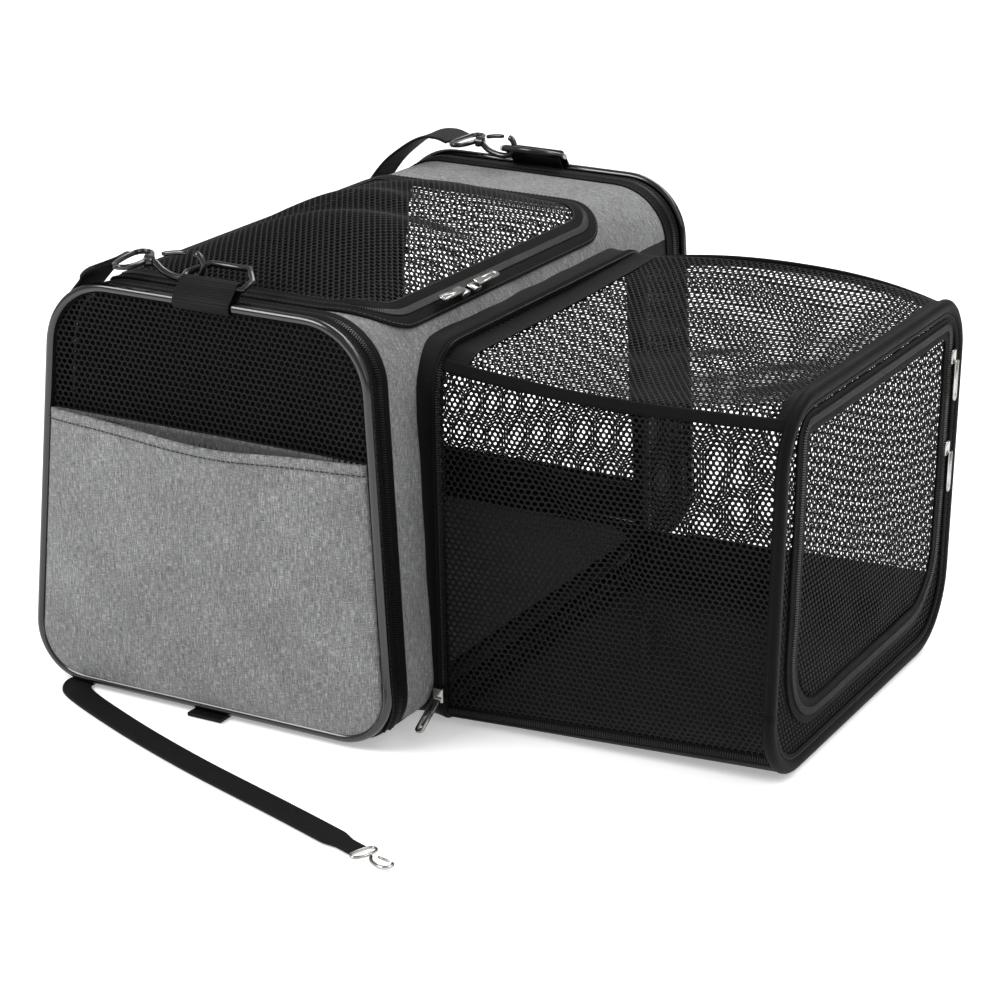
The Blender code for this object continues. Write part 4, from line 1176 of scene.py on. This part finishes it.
def smooth_route(route, sides, step=0.003):
    """Catmull-Rom line through the route's points, with the side direction carried along."""
    route = [np.array(p, dtype=float) for p in route]
    sides = [np.array(s, dtype=float) for s in sides]
    ends = [2 * route[0] - route[1]] + route + [2 * route[-1] - route[-2]]
    points, across = [], []
    for k in range(len(route) - 1):
        a, b, c, d = ends[k:k + 4]
        for t in np.linspace(0, 1, 12, endpoint=k == len(route) - 2):
            points.append(0.5 * (2 * b + (c - a) * t + (2 * a - 5 * b + 4 * c - d) * t ** 2
                                 + (3 * b - a - 3 * c + d) * t ** 3))
            across.append(unit(sides[k] * (1 - t) + sides[k + 1] * t))
    points, across = np.array(points), np.array(across)
    both = resample(np.hstack([points, across]), step)
    return both[:, :3], unit(both[:, 3:])


def rib_profile(width, thick, ribs=9):
    """Webbing's cross-section: raised ribs on both faces between rounded selvedges."""
    points = []
    for sign in (1, -1):
        for k in range(ribs * 4 + 1):
            share = k / (ribs * 4)
            x = sign * (-width / 2 + 0.0008 + (width - 0.0016) * share)
            ripple = 0.00022 * abs(math.sin(math.pi * ribs * share))
            edge = min(share, 1 - share) * width
            rise = thick / 2 * min(1.0, 0.55 + edge / 0.0022)
            points.append((x, -sign * (rise - 0.00022 + ripple)))
    return points


def webbing(name, route, sides, width, thick, body, end_width=None):
    """Webbing along a route, folded narrower over its last stretch if end_width is given."""
    path, across = smooth_route(route, sides)
    scale = None
    if end_width:
        left = lengths(path)[-1] - lengths(path)
        scale = 1 - (1 - end_width / width) * np.clip(1 - (left - 0.012) / 0.010, 0, 1)
    obj = sweep(name, path, across, rib_profile(width, thick), WEBBING, body, scale=scale,
                edge_angle=60)
    return obj, path


front_strap, front_path = webbing("shoulder_strap_front_web", FRONT_ROUTE, FRONT_SIDES,
                                  STRAP_WIDTH, WEB_THICK, "carrier")
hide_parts("shoulder_strap_front")
rear_strap, rear_path = webbing("shoulder_strap_rear_web", REAR_ROUTE, REAR_SIDES,
                                STRAP_WIDTH, WEB_THICK, "carrier")
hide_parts("shoulder_strap_rear")
tether_points = [(x, y, 0.0014) for x, y in TETHER_ROUTE]
runs = tangents(np.array(tether_points), False)
tether, tether_path = webbing("tether_web", tether_points,
                              [(-r[1], r[0], 0) for r in runs], TETHER_WIDTH, WEB_THICK,
                              "carrier", TETHER_END)
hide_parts("tether_webbing")
for strap, door, path in ((front_strap, "front_door", front_path),
                          (rear_strap, "rear_door", rear_path)):
    world = strap.matrix_world.copy()
    strap.parent = None
    strap.matrix_world = world
    del strap["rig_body"]
    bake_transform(strap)

# ------------------------------------------------------------------ strap fittings
RING_BAR = (0.2190, 0.2825)
RING_WIRE = 0.0022
LOOP_HALF = 0.0205


def ring_loop(end, name):
    """Folded webbing round the piping and the D-ring's bar, with its ribs across."""
    pipe = np.array([END, HEIGHT + PIPE_R / 2])
    bar = np.array(RING_BAR)
    away = math.atan2(bar[1] - pipe[1], pipe[0] - bar[0])
    points = []
    for centre, reach, first in ((bar, RING_WIRE + 0.0013, away - math.pi / 2),
                                 (pipe, PIPE_R + 0.0013, away + math.pi / 2)):
        for turn in np.linspace(first, first + math.pi, 19):
            points.append((0, end * (centre[0] - reach * math.cos(turn)),
                           centre[1] + reach * math.sin(turn)))
    path = resample(points, 0.00045, closed=True)
    out = unit(np.cross(tangents(path, True), (1, 0, 0))) * (1 if end < 0 else -1)
    ribs = np.abs(np.sin(np.arange(len(path)) * math.pi / 4))
    loop = sweep(f"{name}_ring_loop", path + out * (ribs * 0.00022)[:, None], (1, 0, 0),
                 stadium(2 * LOOP_HALF, 0.0015, 4), WEBBING, f"{name}_door", closed=True)
    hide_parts(f"{name}_ring_webbing")


for end, name in ((-1, "front"), (1, "rear")):
    ring_loop(end, name)
for name, start, run, body in (
        ("front", (-0.0595, -0.2158, 0.2900), (0.9824, 0.1868, 0), "front_door"),
        ("rear", (-0.0520, 0.2070, 0.2886), (1, 0, 0), "rear_door")):
    start, run = np.array(start), unit(run)
    steps = np.array([0.0078, 0.0084, 0.0100, 0.0120, 0.0136, 0.0142])
    size = np.array([0.70, 1.0, 1.0, 0.86, 0.86, 0.62])
    sweep(f"{name}_swivel", start + run * steps[:, None], (0, 0, 1), circle(0.0040, 20), MOULDED,
          body, scale=size, edge_angle=40)


def padded_mat():
    """Quilted mat: two sheets held together along their seams and blown up between them."""
    low, high = carrier_box("cabin_mat")
    middle, half = (low + high) / 2, (high - low) / 2
    across, length = 42, 84
    u, v = np.meshgrid(np.linspace(-1, 1, across), np.linspace(-1, 1, length), indexing="ij")
    x, y = u * (half[0] - 0.001), v * (half[1] - 0.001)
    corner = 0.030
    over_x = np.abs(x) - (half[0] - corner)
    over_y = np.abs(y) - (half[1] - corner)
    turn = (over_x > 0) & (over_y > 0)
    ratio = np.maximum(over_x, over_y) / np.maximum(np.hypot(over_x, over_y), 1e-9)
    x = np.where(turn, np.sign(x) * (half[0] - corner + over_x * ratio), x)
    y = np.where(turn, np.sign(y) * (half[1] - corner + over_y * ratio), y)
    edge = np.maximum(np.abs(u), np.abs(v)) > 0.999
    seam = edge | (np.arange(across) % 10 == 0)[:, None] | (np.arange(length) % 12 == 0)[None]
    gap = np.where(edge, 0.0, np.where(seam, 0.0006, 0.0012))
    points, faces = [], []
    for sign in (-1, 1):
        first = len(points)
        points += [(px, py, middle[2] - 0.0008 + sign * pg)
                   for px, py, pg in zip(x.ravel(), y.ravel(), gap.ravel())]
        for face in grid_faces(across, length):
            face = tuple(first + k for k in face)
            faces.append(face if sign < 0 else face[::-1])
    mat = make("cabin_mat_pad", np.array(points) + np.array([middle[0], middle[1], 0]), faces,
               FLEECE, "carrier", edge_angle=None)
    bm = bmesh.new()
    bm.from_mesh(mat.data)
    bmesh.ops.remove_doubles(bm, verts=bm.verts, dist=0.00005)
    bmesh.ops.recalc_face_normals(bm, faces=bm.faces)
    bm.to_mesh(mat.data)
    bm.free()
    inflate(mat, middle, half, across, length)
    modify(mat, "SUBSURF", levels=1, render_levels=1)
    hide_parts("cabin_mat")


def inflate(mat, middle, half, across, length):
    """Blow the mat up with Cloth, its seams held, and keep the result."""
    scene = bpy.context.scene
    group = mat.vertex_groups.new(name="seams")
    rest = [v.co.copy() for v in mat.data.vertices]
    for k, point in enumerate(rest):
        x, y = ((point[i] - DATUM[i] - middle[i]) / half[i] for i in (0, 1))
        column = (x + 1) / 2 * (across - 1)
        row = (y + 1) / 2 * (length - 1)
        on_seam = (abs(column / 10 - round(column / 10)) < 0.04
                   or abs(row / 12 - round(row / 12)) < 0.035)
        if on_seam or max(abs(x), abs(y)) > 0.985:
            group.add([k], 1.0, "REPLACE")
    cloth_step = modify(mat, "CLOTH")
    settings = cloth_step.settings
    settings.vertex_group_mass = "seams"
    settings.use_pressure = True
    settings.uniform_pressure_force = 4
    settings.quality = 4
    settings.effector_weights.gravity = 0
    cloth_step.collision_settings.use_collision = False
    for number in range(1, 21):
        scene.frame_set(number)
    depth = bpy.context.evaluated_depsgraph_get()
    blown = [v.co.copy() for v in mat.evaluated_get(depth).data.vertices]
    mat.modifiers.clear()
    mat.vertex_groups.clear()
    scene.frame_set(1)
    low = middle[2] - half[2] + 0.0002
    high = middle[2] + half[2] + 0.0010
    for vertex, before, after in zip(mat.data.vertices, rest, blown):
        move = after - before
        if move.length > 0.006:
            move *= 0.006 / move.length
        vertex.co = before + move
        vertex.co.z = min(max(vertex.co.z, low), high)


padded_mat()

# ------------------------------------------------------------------ carried-over CAD nodes
SMOOTH = ("slider", "pull", "hook", "d_ring")
FINISHES = (("slider", NICKEL), ("pull", NICKEL), ("tether_hook", NICKEL), ("d_ring", MOULDED),
            ("snap_hook", MOULDED), ("adjuster", MOULDED), ("bottom_tab", WEBBING))
for name, node in frame["nodes"].items():
    if node.hide_render:
        continue
    finish = next((m for word, m in FINISHES if word in name), None)
    if finish is None:
        print("no finish for", name)
        continue
    node.data.materials.clear()
    node.data.materials.append(finish)
    if any(word in name for word in SMOOTH):
        node.data.shade_smooth()
        modify(node, "WELD", merge_threshold=0.00002)
        if "hook" in name:
            modify(node, "SUBSURF", levels=2, render_levels=2)
        else:
            node.data.set_sharp_from_angle(angle=math.radians(40))

# ------------------------------------------------------------------ studio and camera
def studio():
    scene = bpy.context.scene
    scene.view_settings.view_transform = "Standard"
    world = bpy.data.worlds.new("studio")
    scene.world = world
    world.use_nodes = True
    background = world.node_tree.nodes["Background"]
    background.inputs["Color"].default_value = (1.0, 1.0, 1.0, 1)
    background.inputs["Strength"].default_value = 0.5
    floor_stuff = Nodes("studio_floor")
    speck = floor_stuff.noise(4.0, 2.0, source="Object")
    colour = floor_stuff.ramp(speck, [(0.3, grey(0.90)), (0.7, grey(0.93))])
    floor_stuff.set(Roughness=0.9, Specular_IOR_Level=0.1, Emission_Color=(1, 1, 1, 1),
                    Emission_Strength=0.35)
    material = floor_stuff.wire(Base_Color=colour)
    bpy.ops.mesh.primitive_plane_add(size=14, location=(0, 0, -0.0004))
    plane = bpy.context.object
    plane.name = "studio_floor"
    plane.data.materials.append(material)
    for name, place, size, power in (("key", (-1.0, -1.6, 1.7), 1.2, 44),
                                     ("fill", (1.9, -0.5, 1.2), 1.4, 7),
                                     ("back", (0.2, 1.7, 1.9), 1.5, 34),
                                     ("top", (1.3, 0.5, 1.9), 1.0, 14)):
        light = bpy.data.lights.new(name, "AREA")
        light.size = size
        light.energy = power
        lamp = bpy.data.objects.new(name, light)
        scene.collection.objects.link(lamp)
        lamp.location = place
        aim = Vector((0, 0, 0.1)) - Vector(place)
        lamp.rotation_euler = aim.to_track_quat("-Z", "Y").to_euler()


def camera():
    azimuth, elevation, roll = (math.radians(a) for a in (27.3946, 19.1808, 1.039))
    back = Vector((math.sin(azimuth) * math.cos(elevation),
                   -math.cos(azimuth) * math.cos(elevation), math.sin(elevation)))
    level = Vector((math.cos(azimuth), math.sin(azimuth), 0))
    up = back.cross(level)
    right = level * math.cos(roll) + up * math.sin(roll)
    up = back.cross(right)
    data = bpy.data.cameras.new("photo_camera")
    data.sensor_width = 36
    data.lens = 105.31
    eye = bpy.data.objects.new("photo_camera", data)
    bpy.context.scene.collection.objects.link(eye)
    turn = Matrix((right, up, back)).transposed().to_4x4()
    turn.translation = Vector((0.95534, -1.67359, 0.74893)) + Vector(DATUM)
    eye.matrix_world = turn
    bpy.context.scene.camera = eye


studio()
camera()
